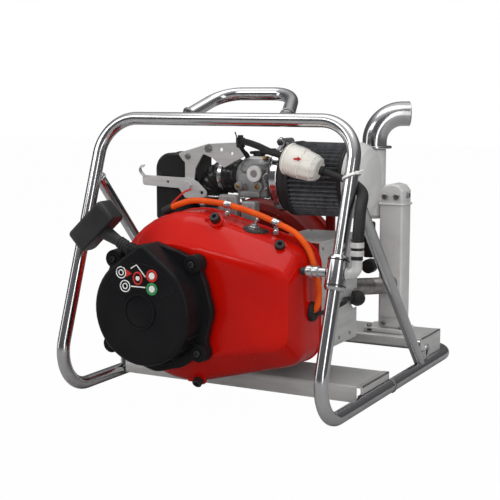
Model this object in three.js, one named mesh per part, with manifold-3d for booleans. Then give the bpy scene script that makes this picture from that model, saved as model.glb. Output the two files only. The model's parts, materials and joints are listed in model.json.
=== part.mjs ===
// A portable power unit: an air-cooled two-stroke petrol engine with a recoil starter drives a pump,
// and a bent stainless tube frame carries both. X points right, Y to the rear, Z up, in millimetres.
// The origin is on the ground, below the middle of the unit's box.
import * as THREE from "three";
import { mergeVertices } from "three/addons/utils/BufferGeometryUtils.js";
import Module from "manifold-3d";

const wasm = await Module();
wasm.setup();

// ---- driving dimensions ----

const GAP = 0.4; // between pieces that touch on the real unit
const SHEET = 3; // gauge of the frame's plates

// tube frame
const TUBE_R = 10.65;
const HALF_WIDTH = 230; // from the middle to a rail's centreline
const FRAME_LENGTH = 626; // front bends to the rear cross tube
const HOOP_RISE = 439; // rail centreline to the top tube's centreline
const HOOP_LEAN = 156; // how far the top tube stands behind the front bends
const FRAME_BEND = 62;
const RAIL_JOINT_Y = 300; // where the hoop's tube meets the rear loop's
const HANDLE_CENTRE_X = 14;
const HANDLE_FOOT_SPAN = 180;
const HANDLE_GRIP_SPAN = 130;
const HANDLE_BEND = 48;
const HANDLE_RISE = 40; // above the top tube's centreline
const HANDLE_REACH = 86; // behind it

// base plates
const PLATE_TOP_Z = 35;
const PLATE_FRONT_Y = 185;
const PLATE_DEPTH = 117;
const PLATE_FLANGE = 27;
const TRAY_TOP_Z = 60;
const TRAY_FRONT_Y = 456;
const TRAY_DEPTH = 104;
const TRAY_FLANGE = 16;

// braces, from the back of each post down to its rail
const BRACE_R = 9.5;
const BRACE_TOP_Z = 362; // where its centreline meets the post's
const BRACE_FOOT_Y = TRAY_FRONT_Y - 3; // and the rail's

// crankshaft axis, parallel to Y, and the cylinder, which points right
const CRANK_X = -57;
const CRANK_Z = 161.5;
const CYLINDER_Y = 255;
const BORE_R = 30;
const STROKE = 50;
const ROD_LENGTH = 95;
const SHAFT_R = 12.5;
const WEB_R = 47;
const WEB_THICKNESS = 18;
const ROD_SLOT = 28; // between the two crank webs
const ROD_WIDTH = 20;
const CASE_R = 75;
const CASE_DEPTH = 114;
const CASE_WALL = 8;
const CYLINDER_LENGTH = 84;
const FIN_R = 62;
const FIN_COUNT = 5;
const HEAD_THICKNESS = 26;
const BEARING_R = 26;
const BEARING_WIDTH = 15;
const PISTON_CLEARANCE = 0.5;
const PIN_R = 8;
const PLUG_HEADING = [0.864, 0.496, -0.084]; // the plug leans back out of the head
const PLUG_REACH = 112; // chamber to the knee of the plug boot
const BIG_END_R = 17;

// fan, cowl and recoil starter, front to back along the shaft
const STARTER_FRONT_Y = -8.5;
const STARTER_R = 85;
const STARTER_DEPTH = 54.5;
const STARTER_FLANGE_R = 104;
const STARTER_WALL = 4;
const COWL_FRONT_Y = 48;
const COWL_DEPTH = 102;
const COWL_WALL = 3;
const COWL_CROWN = 38; // how deep the front's rounding is
const COWL_SHOULDER = 33; // how far it runs in from the side
const COWL_LEFT_R = 136;
const COWL_LEFT_X = -32;
const COWL_LEFT_Z = 171;
const COWL_RIGHT_X = 172;
const COWL_RIGHT_TOP_Z = 266;
const COWL_RIGHT_BASE_Z = 75;
const COWL_CORNER_R = 38;
const COWL_INLET_R = 78;
const GROMMET_Y = 116; // where the leads go into the cowl's right side
const GROMMET_Z = 162;
const GROMMET_R = 10.5;
const FAN_R = 94;
const FAN_DEPTH = 46;
const FAN_BLADES = 12;
const PULLEY_R = STARTER_R - 20.5;
const PULLEY_WIDTH = 18;
const ROPE_R = 2.2;
const ROPE_ANGLE = 27; // degrees above level, up to the left
const GRIP_LENGTH = 84;
const GRIP_HEIGHT = 40;
const GRIP_DEPTH = 38;
const GRIP_STEM = 44;
const GRIP_TILT = 43; // of the bar above level, up to the right

// air duct round the cylinder
const DUCT_LEFT_X = 80;
const DUCT_RIGHT_X = 170;
const DUCT_REAR_Y = 297;
const DUCT_BASE_Z = 90;
const DUCT_TOP_Z = 264;
const DUCT_SHEET = 2;

// intake line, parallel to X above the crankcase
const INTAKE_Y = 240;
const INTAKE_Z = 354;
const CARB_LEFT_X = -40;
const CARB_LENGTH = 106;
const CARB_THROAT_R = 24;
const BOOT_R = 25;
const BOOT_X = -72;
const MANIFOLD_TOP_Z = 302;
const FILTER_R = 61;
const FILTER_LENGTH = 96;
const COLLAR_R = 53;
const COLLAR_LENGTH = 42;
const END_CAP_LENGTH = 34;

// leads
const ORANGE_R = 4.8;
const PLUG_LEAD_R = 3.4;

// fuel line
const SLEEVE_R = 16;
const SLEEVE_LENGTH = 50;
const SLEEVE_Z = 230;
const CONNECTOR_LENGTH = 38;
const CONNECTOR_R = 9;
const HOSE_R = 5;
const FUEL_FILTER_R = 25;
const FUEL_FILTER_LENGTH = 60;
const FUEL_FILTER_CENTRE = [138, 150, 384];

// exhaust
const SILENCER_X = 158;
const SILENCER_Y = 500;
const SILENCER_WIDTH = 44;
const SILENCER_TOP_Z = 330;
const CHIMNEY_X = 116;
const CHIMNEY_R = 21;
const CHIMNEY_TOP_Z = 392;
const COLLAR_DISC_R = 31;
const TAIL_R = 22;
const TAIL_BEND = 50;
const TAIL_HEADING = 32; // degrees from +X towards the rear
const EXHAUST_R = 15;

// driven pump behind the crankcase
const PUMP_R = 139;
const PUMP_FRONT_Y = 365;
const PUMP_DEPTH = 75;
const PUMP_WALL = 5;
const IMPELLER_R = 96;
const INLET_R = 32;
const OUTLET_R = 24;
const OUTLET_END_X = -212;

// throttle controls
const BRACKET_Y = 206;
const LEVER_PIVOT_X = -98;
const LEVER_PIVOT_Z = 338.5;
const LEVER_THICKNESS = 3;
const LINK_DROP = 18; // rod below the lever's pivot and below the throttle shaft
const LINK_R = 1.6;
const THROTTLE_SHAFT_X = 3;
const CONTROL_BOX = { left: -188, right: -100, front: 209.4, rear: 288, base: 281, top: 386 };

// ---- geometry helpers ----

const V = (x, y, z) => new THREE.Vector3(x, y, z);

function solidOf(geometry) {
  const bare = geometry.index ? geometry.toNonIndexed() : geometry.clone();
  bare.deleteAttribute("normal");
  bare.deleteAttribute("uv");
  const merged = mergeVertices(bare, 1e-4);
  const vertProperties = merged.attributes.position.array;
  const triVerts = new Uint32Array(merged.index.array);
  return new wasm.Manifold(new wasm.Mesh({ numProp: 3, vertProperties, triVerts }));
}

function geometryOf(solid) {
  const mesh = solid.getMesh();
  const geometry = new THREE.BufferGeometry();
  geometry.setAttribute("position", new THREE.BufferAttribute(mesh.vertProperties, 3));
  geometry.setIndex(new THREE.BufferAttribute(mesh.triVerts, 1));
  geometry.computeVertexNormals();
  return geometry;
}

const join = (first, ...rest) =>
  geometryOf(rest.reduce((sum, piece) => sum.add(solidOf(piece)), solidOf(first)));

const cut = (body, ...tools) =>
  geometryOf(tools.reduce((left, tool) => left.subtract(solidOf(tool)), solidOf(body)));

function block(x0, x1, y0, y1, z0, z1) {
  const box = new THREE.BoxGeometry(x1 - x0, y1 - y0, z1 - z0);
  return box.translate((x0 + x1) / 2, (y0 + y1) / 2, (z0 + z1) / 2);
}

// A cylinder, or a cone, from one point to another.
function bar(from, to, radius, sides = 16, endRadius = radius) {
  const along = to.clone().sub(from);
  const cylinder = new THREE.CylinderGeometry(endRadius, radius, along.length(), sides);
  const turn = new THREE.Quaternion().setFromUnitVectors(V(0, 1, 0), along.clone().normalize());
  return cylinder.applyQuaternion(turn).translate(...from.clone().addScaledVector(along, 0.5));
}

// A profile of [radius, distance along the axis] pairs, turned about a line parallel to Y.
function turnedY(profile, x, z, sides = 20) {
  const points = profile.map(([r, y]) => new THREE.Vector2(r, y));
  if (THREE.ShapeUtils.isClockWise(points)) points.reverse();
  if (points[0].x > 0) points.push(points[0].clone());
  return new THREE.LatheGeometry(points, sides).translate(x, 0, z);
}

// The same about a line parallel to X.
function turnedX(profile, y, z, sides = 20) {
  const lathe = turnedY(profile, 0, 0, sides);
  return lathe.rotateZ(-Math.PI / 2).translate(0, y, z);
}

// The same about an upright line.
function turnedZ(profile, x, y, sides = 20) {
  const lathe = turnedY(profile, 0, 0, sides);
  return lathe.rotateX(Math.PI / 2).translate(x, y, 0);
}

// An outline of [x, z] points, with holes, as a plate from y0 to y1.
function plateXZ(outline, y0, y1, holes = []) {
  const path = (points) => points.map(([x, z]) => new THREE.Vector2(x, z));
  const shape = new THREE.Shape(path(outline));
  shape.holes = holes.map((hole) => new THREE.Path(path(hole)));
  const plate = new THREE.ExtrudeGeometry(shape, { depth: y1 - y0, bevelEnabled: false });
  return plate.rotateX(Math.PI / 2).translate(0, y1, 0);
}

function circlePoints(cx, cz, radius, sides = 24) {
  const step = (2 * Math.PI) / sides;
  const corner = (_, i) => [cx + radius * Math.cos(i * step), cz + radius * Math.sin(i * step)];
  return Array.from({ length: sides }, corner);
}

// A line of straight runs joined by arcs, which stops only where the line bends.
class BentLine extends THREE.Curve {
  constructor(corners, bend, arcSteps) {
    super();
    this.points = [corners[0]];
    const last = corners.length - 1;
    for (let i = 1; i < last; i++) {
      const [a, b, c] = corners.slice(i - 1, i + 2);
      const before = (i === 1 ? 0.98 : 0.49) * a.distanceTo(b);
      const after = (i === last - 1 ? 0.98 : 0.49) * b.distanceTo(c);
      this.points.push(...arcAt(a, b, c, bend, Math.min(before, after), arcSteps));
    }
    this.points.push(corners[last]);
  }

  getPointAt(u) {
    return this.points[Math.round(u * (this.points.length - 1))].clone();
  }

  getSpacedPoints() {
    return this.points;
  }

  getTangentAt(u) {
    const last = this.points.length - 1;
    const i = Math.round(u * last);
    const into = this.points[i].clone().sub(this.points[Math.max(i - 1, 0)]).normalize();
    const out = this.points[Math.min(i + 1, last)].clone().sub(this.points[i]).normalize();
    return into.add(out).normalize();
  }
}

// Points of the arc of the given radius that rounds the corner b between a and c and starts no
// further than the room before it.
function arcAt(a, b, c, radius, room, steps) {
  const into = b.clone().sub(a).normalize();
  const out = c.clone().sub(b).normalize();
  const half = into.angleTo(out) / 2;
  const reach = Math.min(radius * Math.tan(half), room);
  const centreGap = reach / Math.sin(half);
  const centre = b.clone().addScaledVector(out.clone().sub(into).normalize(), centreGap);
  const start = b.clone().addScaledVector(into, -reach).sub(centre);
  const axis = into.clone().cross(out).normalize();
  const point = (_, i) => start.clone().applyAxisAngle(axis, (2 * half * i) / steps).add(centre);
  return Array.from({ length: steps + 1 }, point);
}

function bentTube(corners, bend, radius, sides = 10, arcSteps = 4) {
  const corner = ([x, y]) => new THREE.Vector2(x, y);
  const section = new THREE.Shape(circlePoints(0, 0, radius, sides).map(corner));
  const extrudePath = new BentLine(corners, bend, arcSteps);
  const steps = extrudePath.points.length - 1;
  return new THREE.ExtrudeGeometry(section, { steps, extrudePath, bevelEnabled: false });
}

// A bent tube that is open from end to end.
function openTube(corners, bend, radius, wall, sides = 16, arcSteps = 5) {
  const first = corners[0].clone().addScaledVector(corners[1].clone().sub(corners[0]).normalize(), -2);
  const last = corners[corners.length - 1];
  const before = corners[corners.length - 2];
  const beyond = last.clone().addScaledVector(last.clone().sub(before).normalize(), 2);
  const inner = [first, ...corners.slice(1, -1), beyond];
  const outside = bentTube(corners, bend, radius, sides, arcSteps);
  return cut(outside, bentTube(inner, bend, radius - wall, sides, arcSteps));
}

// The outline that a belt makes round circles [x, z, radius] given in anticlockwise order.
function beltRound(circles, arcSteps) {
  const normals = circles.map(([x, z, r], i) => {
    const [x2, z2, r2] = circles[(i + 1) % circles.length];
    const span = Math.hypot(x2 - x, z2 - z);
    return Math.atan2(z2 - z, x2 - x) - Math.acos((r - r2) / span);
  });
  return circles.flatMap(([x, z, r], i) => {
    const from = normals[(i + circles.length - 1) % circles.length];
    const turn = (normals[i] - from + 4 * Math.PI) % (2 * Math.PI);
    const steps = Math.max(2, Math.round((arcSteps * turn) / Math.PI));
    const onArc = (_, k) => {
      const angle = from + (turn * k) / steps;
      return [x + r * Math.cos(angle), z + r * Math.sin(angle)];
    };
    return Array.from({ length: steps + 1 }, onArc);
  });
}

// ---- materials ----

const finish = (color, roughness, metalness) =>
  () => new THREE.MeshStandardMaterial({ color, roughness, metalness });

const stainless = finish(0xc9cbcc, 0.22, 1);
const steelSheet = finish(0xb4b5b4, 0.45, 0.9);
const castAluminium = finish(0x9a9b9b, 0.6, 0.8);
const machinedSteel = finish(0x8d8f91, 0.35, 1);
const redPaint = finish(0xb81206, 0.25, 0);
const darkRedPaint = finish(0x6d0f0c, 0.35, 0);
const blackPlastic = finish(0x232323, 0.5, 0);
const blackRubber = finish(0x17171a, 0.75, 0);
const filterPleats = finish(0x3d3f42, 0.8, 0);
const orangeSleeve = finish(0xe8571a, 0.45, 0);
const creamPlastic = finish(0xe6dcc6, 0.3, 0);
const whitePlastic = finish(0xeeeeea, 0.5, 0);
const naturalRope = finish(0xd9d6cc, 0.9, 0);

const unit = new THREE.Group();

function add(name, geometry, material) {
  const mesh = new THREE.Mesh(geometry, material());
  mesh.name = name;
  unit.add(mesh);
  return mesh;
}

// ---- frame ----

const RAIL_Z = TUBE_R;
const TOP_Z = RAIL_Z + HOOP_RISE;
const postY = (z) => ((z - RAIL_Z) * HOOP_LEAN) / HOOP_RISE;
const POST_UP = V(0, HOOP_LEAN, HOOP_RISE).normalize();

function addFrame() {
  const side = (sign) => [
    V(sign * HALF_WIDTH, RAIL_JOINT_Y, RAIL_Z),
    V(sign * HALF_WIDTH, 0, RAIL_Z),
    V(sign * HALF_WIDTH, HOOP_LEAN, TOP_Z),
  ];
  add("front_hoop", bentTube([...side(-1), ...side(1).reverse()], FRAME_BEND, TUBE_R), stainless);
  const rear = (sign) => [
    V(sign * HALF_WIDTH, RAIL_JOINT_Y + GAP, RAIL_Z),
    V(sign * HALF_WIDTH, FRAME_LENGTH, RAIL_Z),
  ];
  add("rear_loop", bentTube([...rear(-1), ...rear(1).reverse()], FRAME_BEND, TUBE_R), stainless);
  for (const [name, sign] of [["left_brace", -1], ["right_brace", 1]]) {
    add(name, braceGeometry(sign), stainless);
  }
  add("carry_handle", handleGeometry(), stainless);
}

// A tube from the back of a post down to its rail.
function braceGeometry(sign) {
  const x = sign * HALF_WIDTH;
  const top = V(x, postY(BRACE_TOP_Z), BRACE_TOP_Z);
  const foot = V(x, BRACE_FOOT_Y, RAIL_Z);
  const post = bar(top.clone().addScaledVector(POST_UP, -60),
    top.clone().addScaledVector(POST_UP, 60), TUBE_R + GAP, 24);
  const rail = bar(foot.clone().setY(BRACE_FOOT_Y - 60), foot.clone().setY(BRACE_FOOT_Y + 60),
    TUBE_R + GAP, 24);
  return cut(bar(top, foot, BRACE_R, 20), post, rail);
}

function handleGeometry() {
  const foot = (sign) => V(
    HANDLE_CENTRE_X + (sign * HANDLE_FOOT_SPAN) / 2,
    HOOP_LEAN + TUBE_R + GAP + 2,
    TOP_Z + 6,
  );
  const grip = (sign) => V(
    HANDLE_CENTRE_X + (sign * HANDLE_GRIP_SPAN) / 2,
    HOOP_LEAN + HANDLE_REACH,
    TOP_Z + HANDLE_RISE,
  );
  return bentTube([foot(-1), grip(-1), grip(1), foot(1)], HANDLE_BEND, TUBE_R);
}

// A plate across the rails with its front and back folded down and a leg on each rail.
function trayGeometry(frontY, depth, topZ, flange) {
  const reach = HALF_WIDTH - 2;
  const skirtZ = topZ - flange;
  const legZ = RAIL_Z + TUBE_R + GAP;
  const inner = HALF_WIDTH - TUBE_R - GAP - 1;
  return join(
    block(-reach, reach, frontY, frontY + depth, topZ - SHEET, topZ),
    block(-inner, inner, frontY, frontY + SHEET, skirtZ, topZ),
    block(-inner, inner, frontY + depth - SHEET, frontY + depth, skirtZ, topZ),
    block(-reach, SHEET - reach, frontY, frontY + depth, legZ, topZ),
    block(reach - SHEET, reach, frontY, frontY + depth, legZ, topZ),
  );
}

function addPlates() {
  const base = trayGeometry(PLATE_FRONT_Y, PLATE_DEPTH, PLATE_TOP_Z, PLATE_FLANGE);
  add("base_plate", base, steelSheet);
  add("rear_tray", trayGeometry(TRAY_FRONT_Y, TRAY_DEPTH, TRAY_TOP_Z, TRAY_FLANGE), steelSheet);
}

// ---- engine ----

const CYLINDER_X0 = CRANK_X + CASE_R + GAP; // where the barrel stands on the crankcase
const CYLINDER_X1 = CYLINDER_X0 + CYLINDER_LENGTH;
const CASE_FRONT_Y = CYLINDER_Y - CASE_DEPTH / 2;
const CASE_REAR_Y = CYLINDER_Y + CASE_DEPTH / 2;
const PAD_Z = CRANK_Z + CASE_R + 2;
const SPIGOT_R = BORE_R + 4;

function crankcaseGeometry() {
  const inside = CASE_DEPTH - 2 * (CASE_WALL + BEARING_WIDTH);
  const chamber = inside / 2;
  const shell = turnedY([[0, CASE_FRONT_Y], [CASE_R, CASE_FRONT_Y], [CASE_R, CASE_REAR_Y],
    [0, CASE_REAR_Y]], CRANK_X, CRANK_Z, 24);
  const foot = block(CRANK_X - 62, CRANK_X + 62, CASE_FRONT_Y + 8, CASE_REAR_Y - 8,
    PLATE_TOP_Z + GAP, CRANK_Z - 30);
  const pad = block(BOOT_X - 38, BOOT_X + 38, INTAKE_Y - 33, CASE_REAR_Y - 6, CRANK_Z, PAD_Z);
  const manifold = turnedZ([[0, PAD_Z - 4], [31, PAD_Z - 4], [31, PAD_Z + 8], [22, PAD_Z + 14],
    [22, MANIFOLD_TOP_Z], [0, MANIFOLD_TOP_Z]], BOOT_X, INTAKE_Y, 24);
  const neck = turnedX([[0, CRANK_X], [SPIGOT_R + 12, CRANK_X], [SPIGOT_R + 12, CYLINDER_X0 - GAP],
    [0, CYLINDER_X0 - GAP]], CYLINDER_Y, CRANK_Z, 18);
  const room = turnedY([[0, CYLINDER_Y - chamber], [CASE_R - CASE_WALL - 15, CYLINDER_Y - chamber],
    [CASE_R - CASE_WALL - 15, CYLINDER_Y + chamber], [0, CYLINDER_Y + chamber]],
  CRANK_X, CRANK_Z, 24);
  const seats = turnedY([[0, CASE_FRONT_Y + CASE_WALL], [BEARING_R + GAP, CASE_FRONT_Y + CASE_WALL],
    [BEARING_R + GAP, CASE_REAR_Y - CASE_WALL], [0, CASE_REAR_Y - CASE_WALL]],
  CRANK_X, CRANK_Z, 18);
  const shaftWay = bar(V(CRANK_X, CASE_FRONT_Y - 1, CRANK_Z), V(CRANK_X, CASE_REAR_Y + 1, CRANK_Z),
    SHAFT_R + 3, 24);
  const cylinderWay = bar(V(CRANK_X, CYLINDER_Y, CRANK_Z), V(CYLINDER_X0 + 1, CYLINDER_Y, CRANK_Z),
    SPIGOT_R - 2, 32);
  const gasWay = bar(V(BOOT_X, INTAKE_Y, CRANK_Z + 40), V(BOOT_X, INTAKE_Y, MANIFOLD_TOP_Z + 1),
    16, 16);
  return cut(join(shell, foot, pad, manifold, neck), room, seats, shaftWay, cylinderWay, gasWay);
}

// The case parts on the plane through its shaft, across the cylinder's middle.
function addCrankcase() {
  const whole = solidOf(crankcaseGeometry());
  const far = 400;
  const frontHalf = solidOf(block(-far, far, -far, CYLINDER_Y - GAP / 2, -far, far));
  const rearHalf = solidOf(block(-far, far, CYLINDER_Y + GAP / 2, 2 * far, -far, far));
  add("crankcase_front", geometryOf(whole.intersect(frontHalf)), castAluminium);
  add("crankcase_rear", geometryOf(whole.intersect(rearHalf)), castAluminium);
}

function addCylinder() {
  const pitch = (CYLINDER_LENGTH - 8) / FIN_COUNT;
  const fins = Array.from({ length: FIN_COUNT }, (_, i) => {
    const x = CYLINDER_X0 + 8 + i * pitch;
    return [[BORE_R + 9, x], [FIN_R, x], [FIN_R, x + 3], [BORE_R + 9, x + 3]];
  }).flat();
  const bore = BORE_R + PISTON_CLEARANCE;
  const barrel = turnedX([[bore, CYLINDER_X0], [BORE_R + 14, CYLINDER_X0], [BORE_R + 14,
    CYLINDER_X0 + 4], [BORE_R + 9, CYLINDER_X0 + 4], ...fins, [BORE_R + 9, CYLINDER_X1],
  [bore, CYLINDER_X1]], CYLINDER_Y, CRANK_Z, 16);
  const port = bar(V(EXHAUST_X, CYLINDER_Y + BORE_R + 3, CRANK_Z),
    V(EXHAUST_X, CYLINDER_Y + FIN_R + 4, CRANK_Z), EXHAUST_R + 3, 16);
  const portWay = bar(V(EXHAUST_X, CYLINDER_Y, CRANK_Z),
    V(EXHAUST_X, CYLINDER_Y + FIN_R + 9, CRANK_Z), EXHAUST_R - 3, 16);
  add("cylinder", cut(join(barrel, port), portWay), castAluminium);

  const x0 = CYLINDER_X1 + GAP;
  const top = x0 + HEAD_THICKNESS;
  const head = turnedX([[0, x0 + 7], [BORE_R - 4, x0 + 3], [BORE_R, x0], [BORE_R + 14, x0],
    [BORE_R + 14, x0 + 4], [FIN_R - 6, x0 + 4], [FIN_R - 6, x0 + 7], [BORE_R + 4, x0 + 7],
    [BORE_R + 4, x0 + 13], [FIN_R - 10, x0 + 13], [FIN_R - 10, x0 + 16], [BORE_R - 4, x0 + 16],
    [BORE_R - 4, top], [0, top]], CYLINDER_Y, CRANK_Z, 16);
  add("cylinder_head", cut(head, bar(plugPoint(-9), plugPoint(46), 7, 16)), castAluminium);

  const tip = bar(plugPoint(-2), plugPoint(40), 7 - GAP, 16);
  const hex = bar(plugPoint(39), plugPoint(51), 11, 6);
  const post = bar(plugPoint(50), plugPoint(84), 6, 12);
  add("spark_plug", join(tip, hex, post), machinedSteel);
}

const EXHAUST_X = CYLINDER_X0 + 44;
const PLUG_START = V(CYLINDER_X1 + 5, CYLINDER_Y, CRANK_Z);
const PLUG_DIRECTION = V(...PLUG_HEADING).normalize();
const plugPoint = (distance) => PLUG_START.clone().addScaledVector(PLUG_DIRECTION, distance);

// Piston at the top of its stroke. The rod and the crank pin travel with it.
function addRunningGear() {
  const pinX = CRANK_X + STROKE / 2;
  const gudgeonX = pinX + ROD_LENGTH;
  const crownX = gudgeonX + 20;
  const skirtX = gudgeonX - 20;
  const piston = turnedX([[0, crownX - 6], [BORE_R - 5, crownX - 6], [BORE_R - 5, skirtX],
    [BORE_R, skirtX], [BORE_R, crownX], [0, crownX]], CYLINDER_Y, CRANK_Z, 16);
  const pinBore = bar(V(gudgeonX, CYLINDER_Y - BORE_R - 1, CRANK_Z),
    V(gudgeonX, CYLINDER_Y + BORE_R + 1, CRANK_Z), PIN_R + GAP, 16);
  add("piston", cut(piston, pinBore), castAluminium);
  const pinEnd = BORE_R - 2;
  add("gudgeon_pin", bar(V(gudgeonX, CYLINDER_Y - pinEnd, CRANK_Z),
    V(gudgeonX, CYLINDER_Y + pinEnd, CRANK_Z), PIN_R, 16), machinedSteel);

  const y0 = CYLINDER_Y - ROD_WIDTH / 2;
  const y1 = CYLINDER_Y + ROD_WIDTH / 2;
  const eyes = join(
    plateXZ(circlePoints(pinX, CRANK_Z, BIG_END_R), y0, y1),
    plateXZ(circlePoints(gudgeonX, CRANK_Z, PIN_R + 5), y0, y1),
    block(pinX, gudgeonX, CYLINDER_Y - 5, CYLINDER_Y + 5, CRANK_Z - 8, CRANK_Z + 8),
  );
  const holes = [
    plateXZ(circlePoints(pinX, CRANK_Z, PIN_R + 2 + GAP), y0 - 1, y1 + 1),
    plateXZ(circlePoints(gudgeonX, CRANK_Z, PIN_R + GAP), y0 - 1, y1 + 1),
  ];
  add("connecting_rod", cut(eyes, ...holes), machinedSteel);
  const slot = ROD_SLOT / 2 - GAP;
  add("crank_pin", bar(V(pinX, CYLINDER_Y - slot, CRANK_Z), V(pinX, CYLINDER_Y + slot, CRANK_Z),
    PIN_R + 2, 16), machinedSteel);
}

// One web with its half of the shaft, from the rod's slot out to endY.
function halfCrank(sign, endY) {
  const inner = CYLINDER_Y + (sign * ROD_SLOT) / 2;
  const outer = inner + sign * WEB_THICKNESS;
  const profile = [[0, inner], [WEB_R, inner], [WEB_R, outer], [SHAFT_R, outer], [SHAFT_R, endY],
    [0, endY]];
  return turnedY(profile, CRANK_X, CRANK_Z, 18);
}

const FAN_FRONT_Y = COWL_FRONT_Y + 16;
const CUP_FRONT_Y = COWL_FRONT_Y - 6;
const IMPELLER_Y = PUMP_FRONT_Y + PUMP_WALL + 8;

function addCrankshaft() {
  add("crank_half_front", halfCrank(-1, CUP_FRONT_Y + 4), machinedSteel);
  add("crank_half_rear", halfCrank(1, IMPELLER_Y + 34), machinedSteel);
  const bearing = (y) => turnedY([[SHAFT_R + GAP, y], [BEARING_R, y], [BEARING_R, y +
    BEARING_WIDTH], [SHAFT_R + GAP, y + BEARING_WIDTH]], CRANK_X, CRANK_Z, 24);
  add("front_bearing", bearing(CASE_FRONT_Y + CASE_WALL + GAP), machinedSteel);
  add("rear_bearing", bearing(CASE_REAR_Y - CASE_WALL - GAP - BEARING_WIDTH), machinedSteel);
}

function addFan() {
  const bore = SHAFT_R + GAP;
  const rear = FAN_FRONT_Y + FAN_DEPTH;
  const wheel = turnedY([[bore, FAN_FRONT_Y], [28, FAN_FRONT_Y], [28, rear - 8], [FAN_R, rear - 6],
    [FAN_R, rear], [bore, rear]], CRANK_X, CRANK_Z, 24);
  const blades = Array.from({ length: FAN_BLADES }, (_, i) => {
    const blade = block(46, FAN_R - 2, FAN_FRONT_Y + 6, rear - 5, -1.5, 1.5);
    return blade.rotateY((2 * Math.PI * i) / FAN_BLADES).translate(CRANK_X, 0, CRANK_Z);
  });
  add("flywheel_fan", join(wheel, ...blades), castAluminium);
  const cup = turnedY([[bore, CUP_FRONT_Y + 8], [22, CUP_FRONT_Y + 8], [22, CUP_FRONT_Y],
    [26, CUP_FRONT_Y], [26, FAN_FRONT_Y - GAP], [bore, FAN_FRONT_Y - GAP]], CRANK_X, CRANK_Z, 16);
  add("starter_cup", cup, machinedSteel);
  const coilZ = CRANK_Z + FAN_R + 3;
  const armZ = CRANK_Z + CASE_R - 12;
  const coil = join(
    block(CRANK_X - 22, CRANK_X + 22, rear - 22, rear + 6, coilZ, coilZ + 22),
    block(CRANK_X - 6, CRANK_X + 6, rear + 2, rear + 6, armZ - 6, coilZ + 1),
    block(CRANK_X - 6, CRANK_X + 6, rear + 2, CASE_FRONT_Y - GAP, armZ - 6, armZ + 6),
  );
  add("ignition_coil", coil, blackPlastic);
}

// ---- cowl ----

function cowlSolid(inset, frontY) {
  const corner = COWL_CORNER_R;
  const outline = beltRound([
    [COWL_LEFT_X, COWL_LEFT_Z, COWL_LEFT_R - inset],
    [COWL_RIGHT_X - corner, COWL_RIGHT_BASE_Z + corner, corner - inset],
    [COWL_RIGHT_X - corner, COWL_RIGHT_TOP_Z - corner, corner - inset],
  ], 14);
  const shape = new THREE.Shape(outline.map(([x, z]) => new THREE.Vector2(x, z)));
  const shoulder = COWL_SHOULDER - inset;
  const cowl = new THREE.ExtrudeGeometry(shape, {
    depth: COWL_DEPTH,
    bevelThickness: COWL_CROWN,
    bevelSize: shoulder,
    bevelOffset: -shoulder,
    bevelSegments: 4,
  });
  return solidOf(cowl.rotateX(Math.PI / 2).translate(0, frontY + COWL_CROWN + COWL_DEPTH, 0));
}

function addCowl() {
  const rear = COWL_FRONT_Y + COWL_DEPTH;
  const far = 400;
  const behind = solidOf(block(-far, far, rear, 2 * far, -far, far));
  const shell = cowlSolid(0, COWL_FRONT_Y).subtract(behind)
    .subtract(cowlSolid(COWL_WALL, COWL_FRONT_Y + COWL_WALL));
  const inlet = bar(V(CRANK_X, COWL_FRONT_Y - 5, CRANK_Z), V(CRANK_X, COWL_FRONT_Y + 12, CRANK_Z),
    COWL_INLET_R, 36);
  const switchWay = bar(SWITCH_BASE.clone().addScaledVector(SWITCH_UP, -14),
    SWITCH_BASE.clone().addScaledVector(SWITCH_UP, 14), 6 + GAP, 16);
  const leadWay = bar(V(COWL_RIGHT_X - 20, GROMMET_Y, GROMMET_Z),
    V(COWL_RIGHT_X + 9, GROMMET_Y, GROMMET_Z), GROMMET_R, 16);
  add("fan_cowl", cut(geometryOf(shell), inlet, switchWay, leadWay), redPaint);
}

// ---- engine switch on the cowl's sloping top ----

const SWITCH_BASE = V(78, 106, 284);
const SWITCH_UP = V(0.22, -0.1, 1).normalize();
const BAT_TILT = 12; // degrees to the right, where the bat rests; it flips as far to the left

function addSwitch() {
  const along = (t) => SWITCH_BASE.clone().addScaledVector(SWITCH_UP, t);
  const bush = join(bar(along(-26), along(-10), 12, 8), bar(along(-12), along(6), 6, 16));
  const socket = bar(along(1), along(12), 3.6, 16);
  add("toggle_switch", cut(bush, socket), machinedSteel);
  const batUp = SWITCH_UP.clone().applyAxisAngle(V(0, 1, 0), rad(BAT_TILT));
  const batTop = along(2).addScaledVector(batUp, 17);
  add("switch_bat", bar(along(2), batTop, 1.5, 12, 2.6), stainless);
}

// ---- recoil starter ----

const ROPE_DIRECTION = V(-Math.cos(rad(ROPE_ANGLE)), 0, Math.sin(rad(ROPE_ANGLE)));
const ROPE_WRAP_R = PULLEY_R + ROPE_R + GAP;
const ROPE_NORMAL = V(Math.sin(rad(ROPE_ANGLE)), 0, Math.cos(rad(ROPE_ANGLE)));
const ROPE_Y = STARTER_FRONT_Y + 24;
const ROPE_START = V(CRANK_X, ROPE_Y, CRANK_Z).addScaledVector(ROPE_NORMAL, ROPE_WRAP_R);
const ropePoint = (distance) => ROPE_START.clone().addScaledVector(ROPE_DIRECTION, distance);
const EYELET_AT = Math.sqrt((STARTER_R + 14) ** 2 - ROPE_WRAP_R ** 2);

function rad(degrees) {
  return (degrees * Math.PI) / 180;
}

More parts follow.
